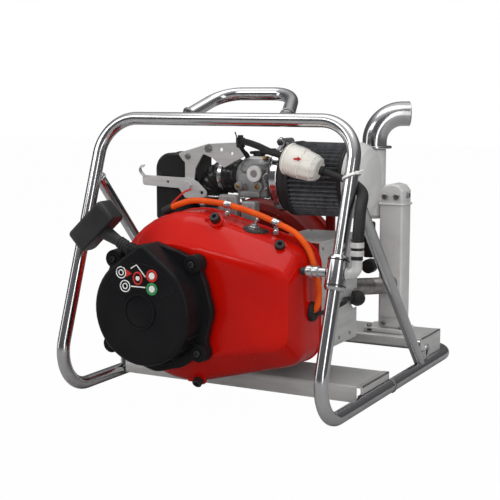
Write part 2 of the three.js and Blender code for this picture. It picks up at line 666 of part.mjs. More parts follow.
function addStarter() {
  const front = STARTER_FRONT_Y;
  const back = front + STARTER_DEPTH;
  const wall = STARTER_WALL;
  const housing = turnedY([[0, front], [STARTER_R - 7, front], [STARTER_R, front + 6],
    [STARTER_R + 3, back - 6], [STARTER_FLANGE_R, back - 6], [STARTER_FLANGE_R, back],
    [STARTER_R - wall, back], [STARTER_R - wall, front + wall + 4], [STARTER_R - wall - 5,
      front + wall], [8, front + wall], [8, back - 16], [0, back - 16]], CRANK_X, CRANK_Z, 24);
  const eyelet = bar(ropePoint(EYELET_AT - 26), ropePoint(EYELET_AT + 4), 9, 16);
  const ropeWay = bar(ropePoint(-4), ropePoint(EYELET_AT + 8), ROPE_R + 1.2, 12);
  const inside = turnedY([[0, front + wall + GAP], [STARTER_R - wall, front + wall + GAP],
    [STARTER_R - wall, back], [0, back]], CRANK_X, CRANK_Z, 24);
  const boss = cut(eyelet, inside);
  add("starter_housing", cut(join(housing, boss), ropeWay), blackPlastic);

  const y0 = ROPE_Y - PULLEY_WIDTH / 2;
  const y1 = ROPE_Y + PULLEY_WIDTH / 2;
  const pulley = turnedY([[8 + GAP, y0], [PULLEY_R + 5, y0], [PULLEY_R + 5, y0 + 4],
    [PULLEY_R - 1, y0 + 5], [PULLEY_R - 1, y1 - 5], [PULLEY_R + 5, y1 - 4], [PULLEY_R + 5, y1],
    [36, y1], [36, y1 - 10], [8 + GAP, y1 - 10]], CRANK_X, CRANK_Z, 24);
  add("rope_pulley", pulley, whitePlastic);
  const spring = turnedY([[11, y1 - 8], [34, y1 - 8], [34, y1], [11, y1]], CRANK_X, CRANK_Z, 16);
  add("recoil_spring", spring, machinedSteel);

  const stemAt = EYELET_AT + 5;
  add("starter_rope", bar(ropePoint(0), ropePoint(stemAt - GAP), ROPE_R, 8), naturalRope);
  add("pull_grip", gripGeometry(stemAt), blackPlastic);
}

// The handle's bar stands across the rope on a stem.
function gripGeometry(stemAt) {
  const middle = ropePoint(stemAt + GRIP_STEM + GRIP_HEIGHT / 2);
  const shape = new THREE.Shape(roundedRectangle(GRIP_LENGTH - 8, GRIP_HEIGHT - 8, 6));
  const bevel = { bevelThickness: 4, bevelSize: 4, bevelSegments: 2 };
  const handle = new THREE.ExtrudeGeometry(shape, { depth: GRIP_DEPTH - 8, ...bevel });
  handle.translate(0, 0, 4 - GRIP_DEPTH / 2).rotateX(Math.PI / 2);
  handle.rotateY(-rad(GRIP_TILT)).translate(...middle);
  const stem = bar(ropePoint(stemAt), middle, 9, 16, 11);
  return join(handle, stem);
}

function roundedRectangle(width, height, corner) {
  const x = width / 2 - corner;
  const y = height / 2 - corner;
  const centres = [[x, y], [-x, y], [-x, -y], [x, -y]];
  return centres.flatMap(([cx, cy], i) => [0, 1, 2, 3].map((k) => {
    const angle = ((i + k / 3) * Math.PI) / 2;
    return new THREE.Vector2(cx + corner * Math.cos(angle), cy + corner * Math.sin(angle));
  }));
}

// ---- air duct, plug lead ----

function addDuct() {
  const y0 = COWL_FRONT_Y + COWL_DEPTH + 1;
  const sheet = DUCT_SHEET;
  const inner = DUCT_RIGHT_X - sheet;
  const channel = [[DUCT_LEFT_X, DUCT_TOP_Z], [DUCT_LEFT_X, DUCT_TOP_Z - sheet],
    [inner, DUCT_TOP_Z - sheet], [inner, DUCT_BASE_Z + sheet], [DUCT_LEFT_X, DUCT_BASE_Z + sheet],
    [DUCT_LEFT_X, DUCT_BASE_Z], [DUCT_RIGHT_X, DUCT_BASE_Z], [DUCT_RIGHT_X, DUCT_TOP_Z]];
  const plugWay = bar(plugPoint(60), plugPoint(100), 17, 16);
  add("air_duct", cut(plateXZ(channel, y0, DUCT_REAR_Y), plugWay), steelSheet);
}

function addPlugLead() {
  const knee = plugPoint(PLUG_REACH);
  const arm = knee.clone().add(V(-20, -41, 6));
  const boot = join(bar(plugPoint(56), knee, 11, 18), bar(knee, arm, 10, 14, 6.5),
    new THREE.SphereGeometry(13, 14, 10).translate(...knee));
  add("plug_boot", cut(boot, bar(plugPoint(55), plugPoint(90), 6 + GAP, 12)), blackRubber);
  const away = arm.clone().sub(knee).normalize();
  const lead = [
    arm.clone().addScaledVector(away, GAP),
    arm.clone().addScaledVector(away, 24),
    V(DUCT_RIGHT_X + 10, GROMMET_Y + 30, GROMMET_Z - 2),
    V(COWL_RIGHT_X + 10, GROMMET_Y + 4, GROMMET_Z - 3),
    V(COWL_RIGHT_X - 12, GROMMET_Y + 4, GROMMET_Z - 3),
  ];
  add("ht_lead", bentTube(lead, 14, PLUG_LEAD_R, 8, 2), blackRubber);
}

// ---- intake, carburettor and air filter ----

const CARB_RIGHT_X = CARB_LEFT_X + CARB_LENGTH;
const CARB_MIDDLE_X = (CARB_LEFT_X + CARB_RIGHT_X) / 2 + 4;
const CARB_CAP_R = 30;
const CARB_FRONT_Y = INTAKE_Y - 26;
const CARB_TOP_Z = INTAKE_Z + 34;
const LINK_Z = LEVER_PIVOT_Z - LINK_DROP;

function addIntake() {
  const boot = openTube([V(BOOT_X, INTAKE_Y, MANIFOLD_TOP_Z + GAP), V(BOOT_X, INTAKE_Y, INTAKE_Z),
    V(CARB_LEFT_X - GAP, INTAKE_Y, INTAKE_Z)], 31, BOOT_R, 4, 16, 6);
  add("intake_boot", boot, blackRubber);

  const throat = turnedX([[0, CARB_LEFT_X], [CARB_THROAT_R, CARB_LEFT_X], [CARB_THROAT_R,
    CARB_RIGHT_X], [0, CARB_RIGHT_X]], INTAKE_Y, INTAKE_Z, 24);
  const middle = CARB_MIDDLE_X;
  const body = block(middle - 28, middle + 28, CARB_FRONT_Y, INTAKE_Y + 24, INTAKE_Z - 34,
    INTAKE_Z + 12);
  const cap = turnedZ([[0, INTAKE_Z + 10], [CARB_CAP_R, INTAKE_Z + 10], [CARB_CAP_R,
    INTAKE_Z + 22], [CARB_CAP_R - 4, INTAKE_Z + 30], [12, CARB_TOP_Z], [0, CARB_TOP_Z]],
  middle, INTAKE_Y, 24);
  const gasWay = bar(V(CARB_LEFT_X - 1, INTAKE_Y, INTAKE_Z), V(CARB_RIGHT_X + 1, INTAKE_Y,
    INTAKE_Z), CARB_THROAT_R - 7, 16);
  const shaftWay = bar(V(THROTTLE_SHAFT_X, CARB_FRONT_Y - 1, LEVER_PIVOT_Z), V(THROTTLE_SHAFT_X,
    CARB_FRONT_Y + 6, LEVER_PIVOT_Z), 3 + GAP, 12);
  add("carburettor", cut(join(throat, body, cap), gasWay, shaftWay), castAluminium);
  addFilter();
}

function addFilter() {
  const x0 = CARB_RIGHT_X - 16;
  const x1 = x0 + COLLAR_LENGTH;
  const x2 = x1 + GAP + FILTER_LENGTH;
  const fit = CARB_THROAT_R + 3 * GAP;
  const collar = turnedX([[fit, x0 + 4], [COLLAR_R - 8, x0 + 4], [COLLAR_R, x0 + 12], [COLLAR_R,
    x0 + 26], [FILTER_R - 2, x1], [30, x1], [30, x1 - 8], [fit, x1 - 12]],
  INTAKE_Y, INTAKE_Z, 16);
  const bodyGap = block(x0 - 40, CARB_MIDDLE_X + CARB_CAP_R + 2 * GAP, INTAKE_Y - 80, INTAKE_Y + 80,
    INTAKE_Z - 80, INTAKE_Z + 80);
  add("filter_collar", cut(collar, bodyGap), blackRubber);
  const band = turnedX([[COLLAR_R + GAP, x0 + 13], [COLLAR_R + 2, x0 + 13], [COLLAR_R + 2,
    x0 + 25], [COLLAR_R + GAP, x0 + 25]], INTAKE_Y, INTAKE_Z, 16);
  const screwZ = INTAKE_Z + COLLAR_R + 6;
  const screw = bar(V(x0 + 19, INTAKE_Y - 16, screwZ), V(x0 + 19, INTAKE_Y + 16, screwZ), 5.5, 10);
  add("filter_clamp", join(band, screw), stainless);
  const element = turnedX([[30, x1 + GAP], [FILTER_R, x1 + GAP], [FILTER_R - 3, x2], [30, x2]],
    INTAKE_Y, INTAKE_Z, 18);
  add("filter_element", element, filterPleats);
  const cap = turnedX([[0, x2 + GAP], [FILTER_R - 3, x2 + GAP], [FILTER_R - 5, x2 + 16],
    [FILTER_R - 16, x2 + END_CAP_LENGTH - 6], [0, x2 + END_CAP_LENGTH]], INTAKE_Y, INTAKE_Z, 16);
  add("filter_end_cap", cap, steelSheet);
}

// ---- fuel line ----

function addFuelLine() {
  const centreY = postY(SLEEVE_Z);
  const half = SLEEVE_LENGTH / 2;
  const centre = V(HALF_WIDTH, centreY, SLEEVE_Z);
  const end = (t) => centre.clone().addScaledVector(POST_UP, t);
  const sleeve = bar(end(-half), end(half), SLEEVE_R, 24);
  const postWay = bar(end(-half - 2), end(half + 2), TUBE_R + GAP, 24);
  add("post_sleeve", cut(sleeve, postWay), stainless);

  const left = HALF_WIDTH - SLEEVE_R - GAP;
  const right = HALF_WIDTH + SLEEVE_R + GAP;
  const connector = turnedX([[0, left - CONNECTOR_LENGTH], [4, left - CONNECTOR_LENGTH], [4.5,
    left - CONNECTOR_LENGTH + 6], [CONNECTOR_R, left - CONNECTOR_LENGTH + 6], [CONNECTOR_R,
    left - 12], [6.5, left - 11], [6.5, left], [0, left]], centreY, SLEEVE_Z, 12);
  add("fuel_connector", connector, stainless);
  const hoseX = right + 15;
  const elbowTop = SLEEVE_Z + 26;
  const elbow = bentTube([V(right, centreY, SLEEVE_Z), V(hoseX, centreY, SLEEVE_Z),
    V(hoseX, centreY, elbowTop)], 10, 7, 12, 4);
  add("hose_elbow", elbow, steelSheet);

  const [filterX, filterY, filterZ] = FUEL_FILTER_CENTRE;
  const filterRight = filterX + FUEL_FILTER_LENGTH / 2;
  const tieZ = BRACE_TOP_Z + 24;
  const feed = [
    V(hoseX, centreY, elbowTop + GAP),
    V(hoseX, centreY, elbowTop + 22),
    V(hoseX - 2, centreY + 14, SLEEVE_Z + 80),
    V(HALF_WIDTH + 20, postY(tieZ) + 20, tieZ - 14),
    V(HALF_WIDTH, postY(tieZ) + 27, tieZ),
    V(filterRight + 30, filterY, filterZ),
    V(filterRight + 9 + GAP, filterY, filterZ),
  ];
  add("feed_hose", bentTube(feed, 22, HOSE_R, 8, 4), blackRubber);
  add("cable_tie", tieGeometry(tieZ), whitePlastic);
  const x0 = filterX - FUEL_FILTER_LENGTH / 2;
  const filter = turnedX([[0, x0 - 8], [4, x0 - 8], [4, x0], [FUEL_FILTER_R - 4, x0],
    [FUEL_FILTER_R, x0 + 5], [FUEL_FILTER_R, filterX], [FUEL_FILTER_R - 4, filterRight - 10],
    [FUEL_FILTER_R - 8, filterRight], [4, filterRight], [4, filterRight + 9], [0,
      filterRight + 9]], filterY, filterZ, 24);
  add("fuel_filter", filter, creamPlastic);
  const carbHose = [V(x0 - 8 - GAP, filterY, filterZ), V(x0 - 26, filterY, filterZ),
    V(CARB_LEFT_X + 60, filterY + 18, INTAKE_Z + 2),
    V(CARB_LEFT_X + 60, CARB_FRONT_Y - GAP, INTAKE_Z + 2)];
  add("carb_hose", bentTube(carbHose, 16, 4, 8, 4), blackRubber);
}

// A strap round the post, in front of the hose.
function tieGeometry(z) {
  const centre = V(HALF_WIDTH, postY(z), z);
  const along = (t) => centre.clone().addScaledVector(POST_UP, t);
  const strap = bar(along(-2), along(2), TUBE_R + 2.2, 16);
  return cut(strap, bar(along(-4), along(4), TUBE_R + GAP, 16));
}

// ---- exhaust ----

function addExhaust() {
  const portY = CYLINDER_Y + FIN_R + 4 + GAP;
  const half = SILENCER_WIDTH / 2;
  const behindY = SILENCER_Y - half - GAP;
  const pipe = openTube([V(EXHAUST_X, portY, CRANK_Z), V(EXHAUST_X, portY + 24, CRANK_Z),
    V(SILENCER_X - 26, portY + 29, CRANK_Z), V(SILENCER_X - 20, SILENCER_Y - 70, CRANK_Z - 10),
    V(SILENCER_X, SILENCER_Y - 50, CRANK_Z - 10), V(SILENCER_X, behindY, CRANK_Z - 10)],
  20, EXHAUST_R, 1.5, 10, 2);
  add("exhaust_pipe", pipe, stainless);

  const base = TRAY_TOP_Z + GAP;
  const foot = block(SILENCER_X - 48, SILENCER_X + half + 8, SILENCER_Y - half - 8,
    SILENCER_Y + half + 8, base, base + 8);
  const body = block(SILENCER_X - half, SILENCER_X + half, SILENCER_Y - half, SILENCER_Y + half,
    base, SILENCER_TOP_Z - half);
  const cap = bar(V(SILENCER_X, SILENCER_Y - half, SILENCER_TOP_Z - half), V(SILENCER_X,
    SILENCER_Y + half, SILENCER_TOP_Z - half), half, 24);
  const neckZ = SILENCER_TOP_Z - half - 10;
  const link = bar(V(SILENCER_X, SILENCER_Y, neckZ), V(CHIMNEY_X, SILENCER_Y, neckZ), 14, 16);
  const chimney = turnedZ([[0, neckZ - 30], [CHIMNEY_R - 6, neckZ - 30], [CHIMNEY_R, neckZ - 20],
    [CHIMNEY_R, CHIMNEY_TOP_Z], [0, CHIMNEY_TOP_Z]], CHIMNEY_X, SILENCER_Y, 24);
  const gasWay = turnedZ([[0, neckZ - 10], [CHIMNEY_R - 3, neckZ - 10], [CHIMNEY_R - 3,
    CHIMNEY_TOP_Z + 1], [0, CHIMNEY_TOP_Z + 1]], CHIMNEY_X, SILENCER_Y, 16);
  add("silencer", cut(join(foot, body, cap, link, chimney), gasWay), castAluminium);

  const heading = V(Math.cos(rad(TAIL_HEADING)), Math.sin(rad(TAIL_HEADING)), 0);
  const bottom = V(CHIMNEY_X, SILENCER_Y, CHIMNEY_TOP_Z + GAP);
  const corner = bottom.clone().add(V(0, 0, TAIL_BEND + 12));
  const mouth = corner.clone().addScaledVector(heading, TAIL_BEND + 12);
  const disc = turnedZ([[TAIL_R - 1, bottom.z], [COLLAR_DISC_R, bottom.z], [COLLAR_DISC_R,
    bottom.z + 4], [TAIL_R - 1, bottom.z + 4]], CHIMNEY_X, SILENCER_Y, 16);
  const tail = openTube([bottom, corner, mouth], TAIL_BEND, TAIL_R, 1.6, 14, 4);
  add("tail_pipe", join(tail, disc), stainless);
}

// ---- driven pump ----

function addPump() {
  const y0 = PUMP_FRONT_Y;
  const y1 = y0 + PUMP_DEPTH;
  const wall = PUMP_WALL;
  const seal = SHAFT_R + GAP;
  const bell = CASE_R - 12;
  const casing = turnedY([[seal, y0], [bell - 5, y0], [bell - 5, CASE_REAR_Y + GAP], [bell,
    CASE_REAR_Y + GAP], [bell + 6, y0 - 2], [PUMP_R - 14, y0 - 2], [PUMP_R, y0 + 10], [PUMP_R, y1],
  [PUMP_R - wall, y1], [PUMP_R - wall, y0 + 12], [PUMP_R - 18, y0 + wall], [seal, y0 + wall]],
  CRANK_X, CRANK_Z, 24);
  const outletY = (y0 + y1) / 2 + 2;
  const outletZ = CRANK_Z - PUMP_R + OUTLET_R + 14;
  const outlet = bar(V(OUTLET_END_X, outletY, outletZ), V(CRANK_X - 60, outletY, outletZ),
    OUTLET_R, 16);
  const room = turnedY([[0, y0 + wall], [PUMP_R - 18, y0 + wall], [PUMP_R - wall, y0 + 12],
    [PUMP_R - wall, y1 + 1], [0, y1 + 1]], CRANK_X, CRANK_Z, 24);
  const outletWay = bar(V(OUTLET_END_X - 1, outletY, outletZ), V(CRANK_X - 70, outletY, outletZ),
    OUTLET_R - wall, 16);
  add("pump_casing", cut(join(casing, cut(outlet, room)), outletWay), darkRedPaint);

  const inletEnd = y1 + 66;
  const cover = turnedY([[INLET_R - wall, y1 + GAP], [PUMP_R, y1 + GAP], [PUMP_R, y1 + 8],
    [INLET_R + 22, y1 + 12], [INLET_R, y1 + 26], [INLET_R, inletEnd - 14], [INLET_R + 7,
      inletEnd - 14], [INLET_R + 7, inletEnd], [INLET_R - wall, inletEnd]], CRANK_X, CRANK_Z, 24);
  add("pump_cover", cover, darkRedPaint);

  const hub = turnedY([[seal, IMPELLER_Y], [IMPELLER_R, IMPELLER_Y], [IMPELLER_R, IMPELLER_Y + 4],
    [24, IMPELLER_Y + 6], [20, IMPELLER_Y + 32], [seal, IMPELLER_Y + 32]], CRANK_X, CRANK_Z, 18);
  const vanes = Array.from({ length: 6 }, (_, i) => {
    const vane = block(18, IMPELLER_R - 4, IMPELLER_Y + 3, IMPELLER_Y + 26, -1.5, 1.5);
    return vane.rotateY((Math.PI * i) / 3).translate(CRANK_X, 0, CRANK_Z);
  });
  add("impeller", join(hub, ...vanes), castAluminium);
}

// ---- throttle and choke ----

function addControls() {
  const box = CONTROL_BOX;
  const shape = [[box.left, box.base], [box.right, box.base], [box.right, box.top],
    [box.left + 26, box.top], [box.left + 8, box.top - 8], [box.left, box.top - 28]];
  const legs = block(box.right - 14, box.right - 2, box.rear - 26, box.rear - 4, PAD_Z + GAP,
    box.base + 1);
  add("control_box", join(plateXZ(shape, box.front, box.rear), legs), blackPlastic);

  const y0 = BRACKET_Y;
  const px = LEVER_PIVOT_X;
  const pz = LEVER_PIVOT_Z;
  const strap = [[px - 8, pz - 10], [px + 8, pz - 10], [px + 8, pz + 33]];
  const wing = [[px + 22, pz + 48], [px + 62, pz + 53], [px + 72, pz + 57], [px + 102, pz + 57],
    [px + 96, pz + 70], [px + 74, pz + 72], [px + 12, pz + 65], [px - 22, pz + 48], [px - 8,
      pz + 39]];
  const pivotHole = circlePoints(px, pz, 3 + GAP, 12);
  add("control_bracket", plateXZ([...strap, ...wing], y0, y0 + SHEET, [pivotHole]), steelSheet);

  const lever1 = y0 - GAP;
  const lever0 = lever1 - LEVER_THICKNESS;
  const arm = [[-92, 10], [-86, 14], [-14, 12], [0, 13], [18, 6], [35, -9], [35, -18], [28, -20],
    [6, -22], [-6, -22], [-18, -6], [-90, -3]];
  const lever = plateXZ(arm.map(([x, z]) => [px + x, pz + z]), lever0, lever1);
  const bolt = bar(V(px, lever0 - 5, pz), V(px, y0 + SHEET - GAP, pz), 3, 12);
  add("throttle_lever", join(lever, bolt), steelSheet);

  const rodY = lever1 + GAP + LINK_R;
  add("link_rod", bar(V(px - 5, rodY, LINK_Z), V(THROTTLE_SHAFT_X + 5, rodY, LINK_Z), LINK_R, 8),
    stainless);
  const arm0 = rodY + LINK_R + GAP;
  const armOutline = beltRound([[THROTTLE_SHAFT_X, LINK_Z, 4], [THROTTLE_SHAFT_X,
    LEVER_PIVOT_Z, 6]], 10);
  const shaft = bar(V(THROTTLE_SHAFT_X, arm0, LEVER_PIVOT_Z), V(THROTTLE_SHAFT_X,
    CARB_FRONT_Y + 5, LEVER_PIVOT_Z), 3, 12);
  add("throttle_arm", join(plateXZ(armOutline, arm0, arm0 + 2), shaft), machinedSteel);

  const z0 = CARB_TOP_Z + GAP;
  const hub = turnedZ([[0, z0], [10, z0], [10, z0 + 7], [0, z0 + 7]], CARB_MIDDLE_X, INTAKE_Y, 16);
  const handle = block(CARB_MIDDLE_X - 16, CARB_MIDDLE_X + 30, INTAKE_Y - 5, INTAKE_Y + 5, z0 + 2,
    z0 + 9);
  add("choke_lever", join(hub, handle), blackPlastic);
}

// ---- sleeved lead over the cowl ----

function addOrangeLead() {
  const y = GROMMET_Y + 4;
  const route = [
    V(-78, y, 306), V(-58, y, 316), V(-30, y, 323), V(10, y, 319), V(60, y + 4, 306),
    V(112, y + 2, 292), V(146, y - 4, 279), V(169, y - 7, 257), V(181, y - 6, 230),
    V(185, y - 4, 205), V(185, GROMMET_Y - 2, 184), V(181, GROMMET_Y - 4, GROMMET_Z + 6),
    V(COWL_RIGHT_X - 8, GROMMET_Y - 4, GROMMET_Z + 2),
  ];
  const curve = new THREE.CatmullRomCurve3(route, false, "centripetal");
  const section = circlePoints(0, 0, ORANGE_R, 8).map(([u, v]) => new THREE.Vector2(u, v));
  const lead = new THREE.ExtrudeGeometry(new THREE.Shape(section),
    { steps: 26, extrudePath: curve, bevelEnabled: false });
  add("orange_lead", lead, orangeSleeve);
}

addFrame();
addPlates();
addCrankcase();
addCylinder();
addRunningGear();
addCrankshaft();
addFan();
addCowl();
addSwitch();
addStarter();
addDuct();
addPlugLead();
addIntake();
addFuelLine();
addExhaust();
addPump();
addControls();
addOrangeLead();

// The origin goes to the ground below the middle of the box.
const box = new THREE.Box3().setFromObject(unit);
const middle = box.getCenter(V(0, 0, 0));
unit.position.set(-middle.x, -middle.y, -box.min.z);
const part = new THREE.Group();
part.add(unit);

export default part;
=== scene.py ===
"""Looks of a portable power unit: a small petrol engine with a recoil starter and a red fan cowl,
standing in a bent stainless tube frame. Lengths inside the makers are millimetres from the front
bends of the frame, and put() moves them into the frame's own metres."""

import json
import math

import bmesh
import bpy
import numpy as np
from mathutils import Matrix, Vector


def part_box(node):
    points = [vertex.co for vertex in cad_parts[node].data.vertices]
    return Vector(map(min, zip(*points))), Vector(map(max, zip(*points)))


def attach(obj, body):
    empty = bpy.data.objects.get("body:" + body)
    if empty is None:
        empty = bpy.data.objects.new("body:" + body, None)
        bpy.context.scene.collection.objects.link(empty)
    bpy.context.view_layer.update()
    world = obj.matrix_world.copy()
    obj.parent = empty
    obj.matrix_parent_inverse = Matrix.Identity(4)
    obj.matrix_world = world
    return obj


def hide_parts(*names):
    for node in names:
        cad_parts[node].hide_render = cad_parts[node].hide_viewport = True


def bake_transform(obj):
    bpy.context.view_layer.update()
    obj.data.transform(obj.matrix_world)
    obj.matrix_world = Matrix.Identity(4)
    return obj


bl_info = {
    "name": "Portable power unit",
    "version": (1, 0, 0),
    "blender": (4, 5, 0),
    "location": "View3D > Sidebar > Power unit",
    "description": "Builds the looks of a portable power unit around its packed frame",
    "category": "Object",
}

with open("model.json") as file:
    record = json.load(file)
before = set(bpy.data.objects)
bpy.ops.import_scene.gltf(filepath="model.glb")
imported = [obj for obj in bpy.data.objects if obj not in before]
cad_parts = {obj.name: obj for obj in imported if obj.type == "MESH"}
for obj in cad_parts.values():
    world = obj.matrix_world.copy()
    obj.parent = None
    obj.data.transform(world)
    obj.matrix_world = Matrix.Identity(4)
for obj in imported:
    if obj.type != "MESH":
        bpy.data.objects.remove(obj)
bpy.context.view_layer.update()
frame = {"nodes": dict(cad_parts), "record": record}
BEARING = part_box("front_bearing")
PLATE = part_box("base_plate")
CRANK_X, CRANK_Z = -57.0, 161.5
SHIFT = np.array([(BEARING[0][0] + BEARING[1][0]) / 2 - CRANK_X / 1000, PLATE[0][1] - 0.185, 0.0])
RAIL_Z, TOP_Z, HALF_WIDTH, LENGTH, LEAN = 10.65, 449.65, 230.0, 626.0, 156.0
INTAKE_Y, INTAKE_Z = 240.0, 354.0
BRACE_TOP_Z = 362.0
LUG_RING = 102
FILTER_TILT = math.radians(17)
TAU = 2 * math.pi
EDGE_ANGLE = math.radians(38)
X, Y, Z = np.eye(3)
CORNERS = ((0.7, 0.7), (-0.7, 0.7), (0.7, -0.7), (-0.7, -0.7))


def post_y(z):
    """Y of a post's centreline at height z: the hoop leans back evenly."""
    return (z - RAIL_Z) * LEAN / (TOP_Z - RAIL_Z)


POST_UP = np.array([0, LEAN, TOP_Z - RAIL_Z]) / math.hypot(LEAN, TOP_Z - RAIL_Z)


# ---- surfaces ----


def unit(v):
    """v divided by its own length, along its last axis."""
    return v / np.linalg.norm(v, axis=-1, keepdims=True)


def outward(points, faces):
    """The shell with its faces turned so that its signed volume, the sum of a dot (b cross c), is positive."""
    tris = np.concatenate([f[:, [0, i, i + 1]] for f in faces for i in range(1, f.shape[1] - 1)])
    a, b, c = (points[tris[:, i]] for i in range(3))
    if np.einsum("ij,ij->", a, np.cross(b, c)) < 0:
        faces = [f[:, ::-1] for f in faces]
    return points, faces


def grid(rows, loop=False):
    """Quads between neighbouring rows of points, each row a closed ring. Unless the rows loop, the
    first and last rings are closed by a fan to their own middle."""
    n, m = rows.shape[:2]
    index = np.arange(n * m).reshape(n, m)
    nxt = np.roll(index, -1, axis=0) if loop else index[1:]
    low = index if loop else index[:-1]
    quads = np.stack([low, np.roll(low, -1, 1), np.roll(nxt, -1, 1), nxt], -1).reshape(-1, 4)
    points, faces = rows.reshape(-1, 3), [quads]
    if not loop:
        centre = np.array([rows[0].mean(0), rows[-1].mean(0)])
        points = np.vstack([points, centre])
        for ring, tip, way in ((index[0], n * m, 1), (index[-1], n * m + 1, -1)):
            fan = np.stack([np.full(m, tip), np.roll(ring, -1), ring], -1)
            faces.append(fan[:, ::way])
    return outward(points, faces)


def arc_corners(corners, radius, steps=10, closed=False):
    """The polyline through the corners with each one rounded by an arc of the radius, or less where
    the runs beside it are short: centre plus radius times cosine and sine of an even angle."""
    c = [np.asarray(p, float) for p in corners]
    n = len(c)
    radii = radius if np.iterable(radius) else [radius] * n
    share = lambda i, end: 0.98 if not closed and i == end else 0.49
    out = [] if closed else [c[0][None]]
    for i in range(n) if closed else range(1, n - 1):
        a, b, d = c[i - 1], c[i], c[(i + 1) % n]
        u, v = unit(b - a), unit(d - b)
        half = math.acos(np.clip(u @ v, -1, 1)) / 2
        if half < 1e-3 or radii[i] <= 0:
            out.append(b[None])
            continue
        reach = min(radii[i] * math.tan(half), share(i, 1) * np.linalg.norm(b - a),
                    share(i, n - 2) * np.linalg.norm(d - b))
        r = reach / math.tan(half)
        middle = b + unit(v - u) * r / math.cos(half)
        t = np.linspace(0, 2 * half, steps + 1)[:, None]
        start = b - u * reach - middle
        out.append(middle + start * np.cos(t) + u * r * np.sin(t))
    if not closed:
        out.append(c[-1][None])
    return np.vstack(out)


def spline(points, n=80):
    """Catmull-Rom curve through the points: each stretch is a cubic of its four neighbours."""
    p = np.asarray(points, float)
    p = np.vstack([2 * p[0] - p[1], p, 2 * p[-1] - p[-2]])
    t = np.linspace(0, len(p) - 3 - 1e-9, n)
    i, u = t.astype(int), (t % 1)[:, None]
    a, b, c, d = p[i], p[i + 1], p[i + 2], p[i + 3]
    return 0.5 * (2 * b + (c - a) * u + (2 * a - 5 * b + 4 * c - d) * u**2 + (3 * b - a - 3 * c + d) * u**3)


def along(path, loop=False):
    """Tangent, side and up vectors at each point of a path: the side vector is carried from point to
    point and loses only its share along the new tangent, so the section never twists."""
    ends = (np.roll(path, -1, 0), np.roll(path, 1, 0)) if loop else (path[1:], path[:-1])
    step = unit(ends[0] - ends[1])
    t = step if loop else unit(np.vstack([step[:1], step[1:] + step[:-1], step[-1:]]))
    side = [unit(np.cross(t[0], X if abs(t[0][0]) < 0.7 else Z))]
    for tangent in t[1:]:
        side.append(unit(side[-1] - (side[-1] @ tangent) * tangent))
    side = np.array(side)
    return t, side, np.cross(side, t)


def tube(path, radius, sides=24, wall=0, round_end=0, flat=1.0, loop=False):
    """A circle of the radius carried square to the path. With a wall, the rows come back inside it.
    A round end closes over as a quarter ellipse, and flat squeezes the circle one way."""
    path = np.asarray(path, float)
    r = np.broadcast_to(radius, len(path)).astype(float)
    t, side, up = along(path, loop)
    if round_end:
        k = np.linspace(0, math.pi / 2, 6)[1:]
        cap = lambda p, way: p + way * np.sin(k)[:, None] * round_end
        path = np.vstack([cap(path[0], -t[0])[::-1], path, cap(path[-1], t[-1])])
        shrink = np.maximum(np.cos(k), 0.02)
        r = np.concatenate([(r[0] * shrink)[::-1], r, r[-1] * shrink])
        t, side, up = (np.vstack([np.repeat(a[:1], 5, 0), a, np.repeat(a[-1:], 5, 0)]) for a in (t, side, up))
    a = np.arange(sides) / sides * TAU
    ring = side[:, None] * np.cos(a)[:, None] + up[:, None] * np.sin(a)[:, None] * flat
    rows = path[:, None] + ring * r[:, None, None]
    if not wall:
        return grid(rows, loop)
    inner = path[:, None] + ring * (r - wall)[:, None, None]
    return grid(np.vstack([rows, inner[::-1]]), True)


def turned(profile, at, axis, sides=48, soft=0.8, hexed=(), knurl=(), teeth=24, depth=0.05):
    """A profile of (radius, distance) pairs turned about an axis through a point, its corners rounded.
    Rows in hexed are six-sided; rows in knurl have their radius waved by a cosine of so many teeth."""
    pts = np.asarray(profile, float)
    ring = pts[0][0] > 0
    if soft and not hexed and not knurl:
        pts = arc_corners(pts, soft, 3, ring)
    axis = unit(np.asarray(axis, float))
    side = unit(np.cross(axis, X if abs(axis[0]) < 0.7 else Z))
    up = np.cross(axis, side)
    a = np.arange(sides) / sides * TAU
    r = np.repeat(pts[:, :1], sides, 1)
    six = math.cos(math.pi / 6) / np.cos((a + math.pi / 6) % (math.pi / 3) - math.pi / 6)
    for i in hexed:
        r[i] *= six
    for i in knurl:
        r[i] *= 1 + depth * np.cos(teeth * a)
    spokes = side * np.cos(a)[:, None] + up * np.sin(a)[:, None]
    rows = np.asarray(at, float) + r[:, :, None] * spokes + pts[:, 1][:, None, None] * axis
    if ring:
        return grid(rows, True)
    return grid(rows[1:-1] if pts[-1][0] == 0 else rows[1:])


def belt(circles, steps=24):
    """The outline that a belt makes round circles (x, z, radius) in anticlockwise order: an arc on
    each from the normal of the run before it to the normal of the run after it."""
    c = np.asarray(circles, float)
    nxt = np.roll(c, -1, 0)
    span = nxt - c
    length = np.hypot(span[:, 0], span[:, 1])
    normal = np.arctan2(span[:, 1], span[:, 0]) - np.arccos((c[:, 2] - nxt[:, 2]) / length)
    start = np.roll(normal, 1)
    turn = (normal - start) % TAU
    a = start[:, None] + turn[:, None] * np.linspace(0, 1, steps + 1)
    arcs = c[:, None, :2] + c[:, 2, None, None] * np.stack([np.cos(a), np.sin(a)], -1)
    ends = np.roll(arcs[:, 0], -1, 0)
    run = arcs[:, -1, None] + (ends - arcs[:, -1])[:, None] * (np.arange(1, 12) / 12)[:, None]
    return np.concatenate([arcs, run], 1).reshape(-1, 2)


def ring_at(outline, y):
    """An outline of (x, z) points set at a depth y."""
    return np.column_stack([outline[:, 0], np.full(len(outline), y), outline[:, 1]])


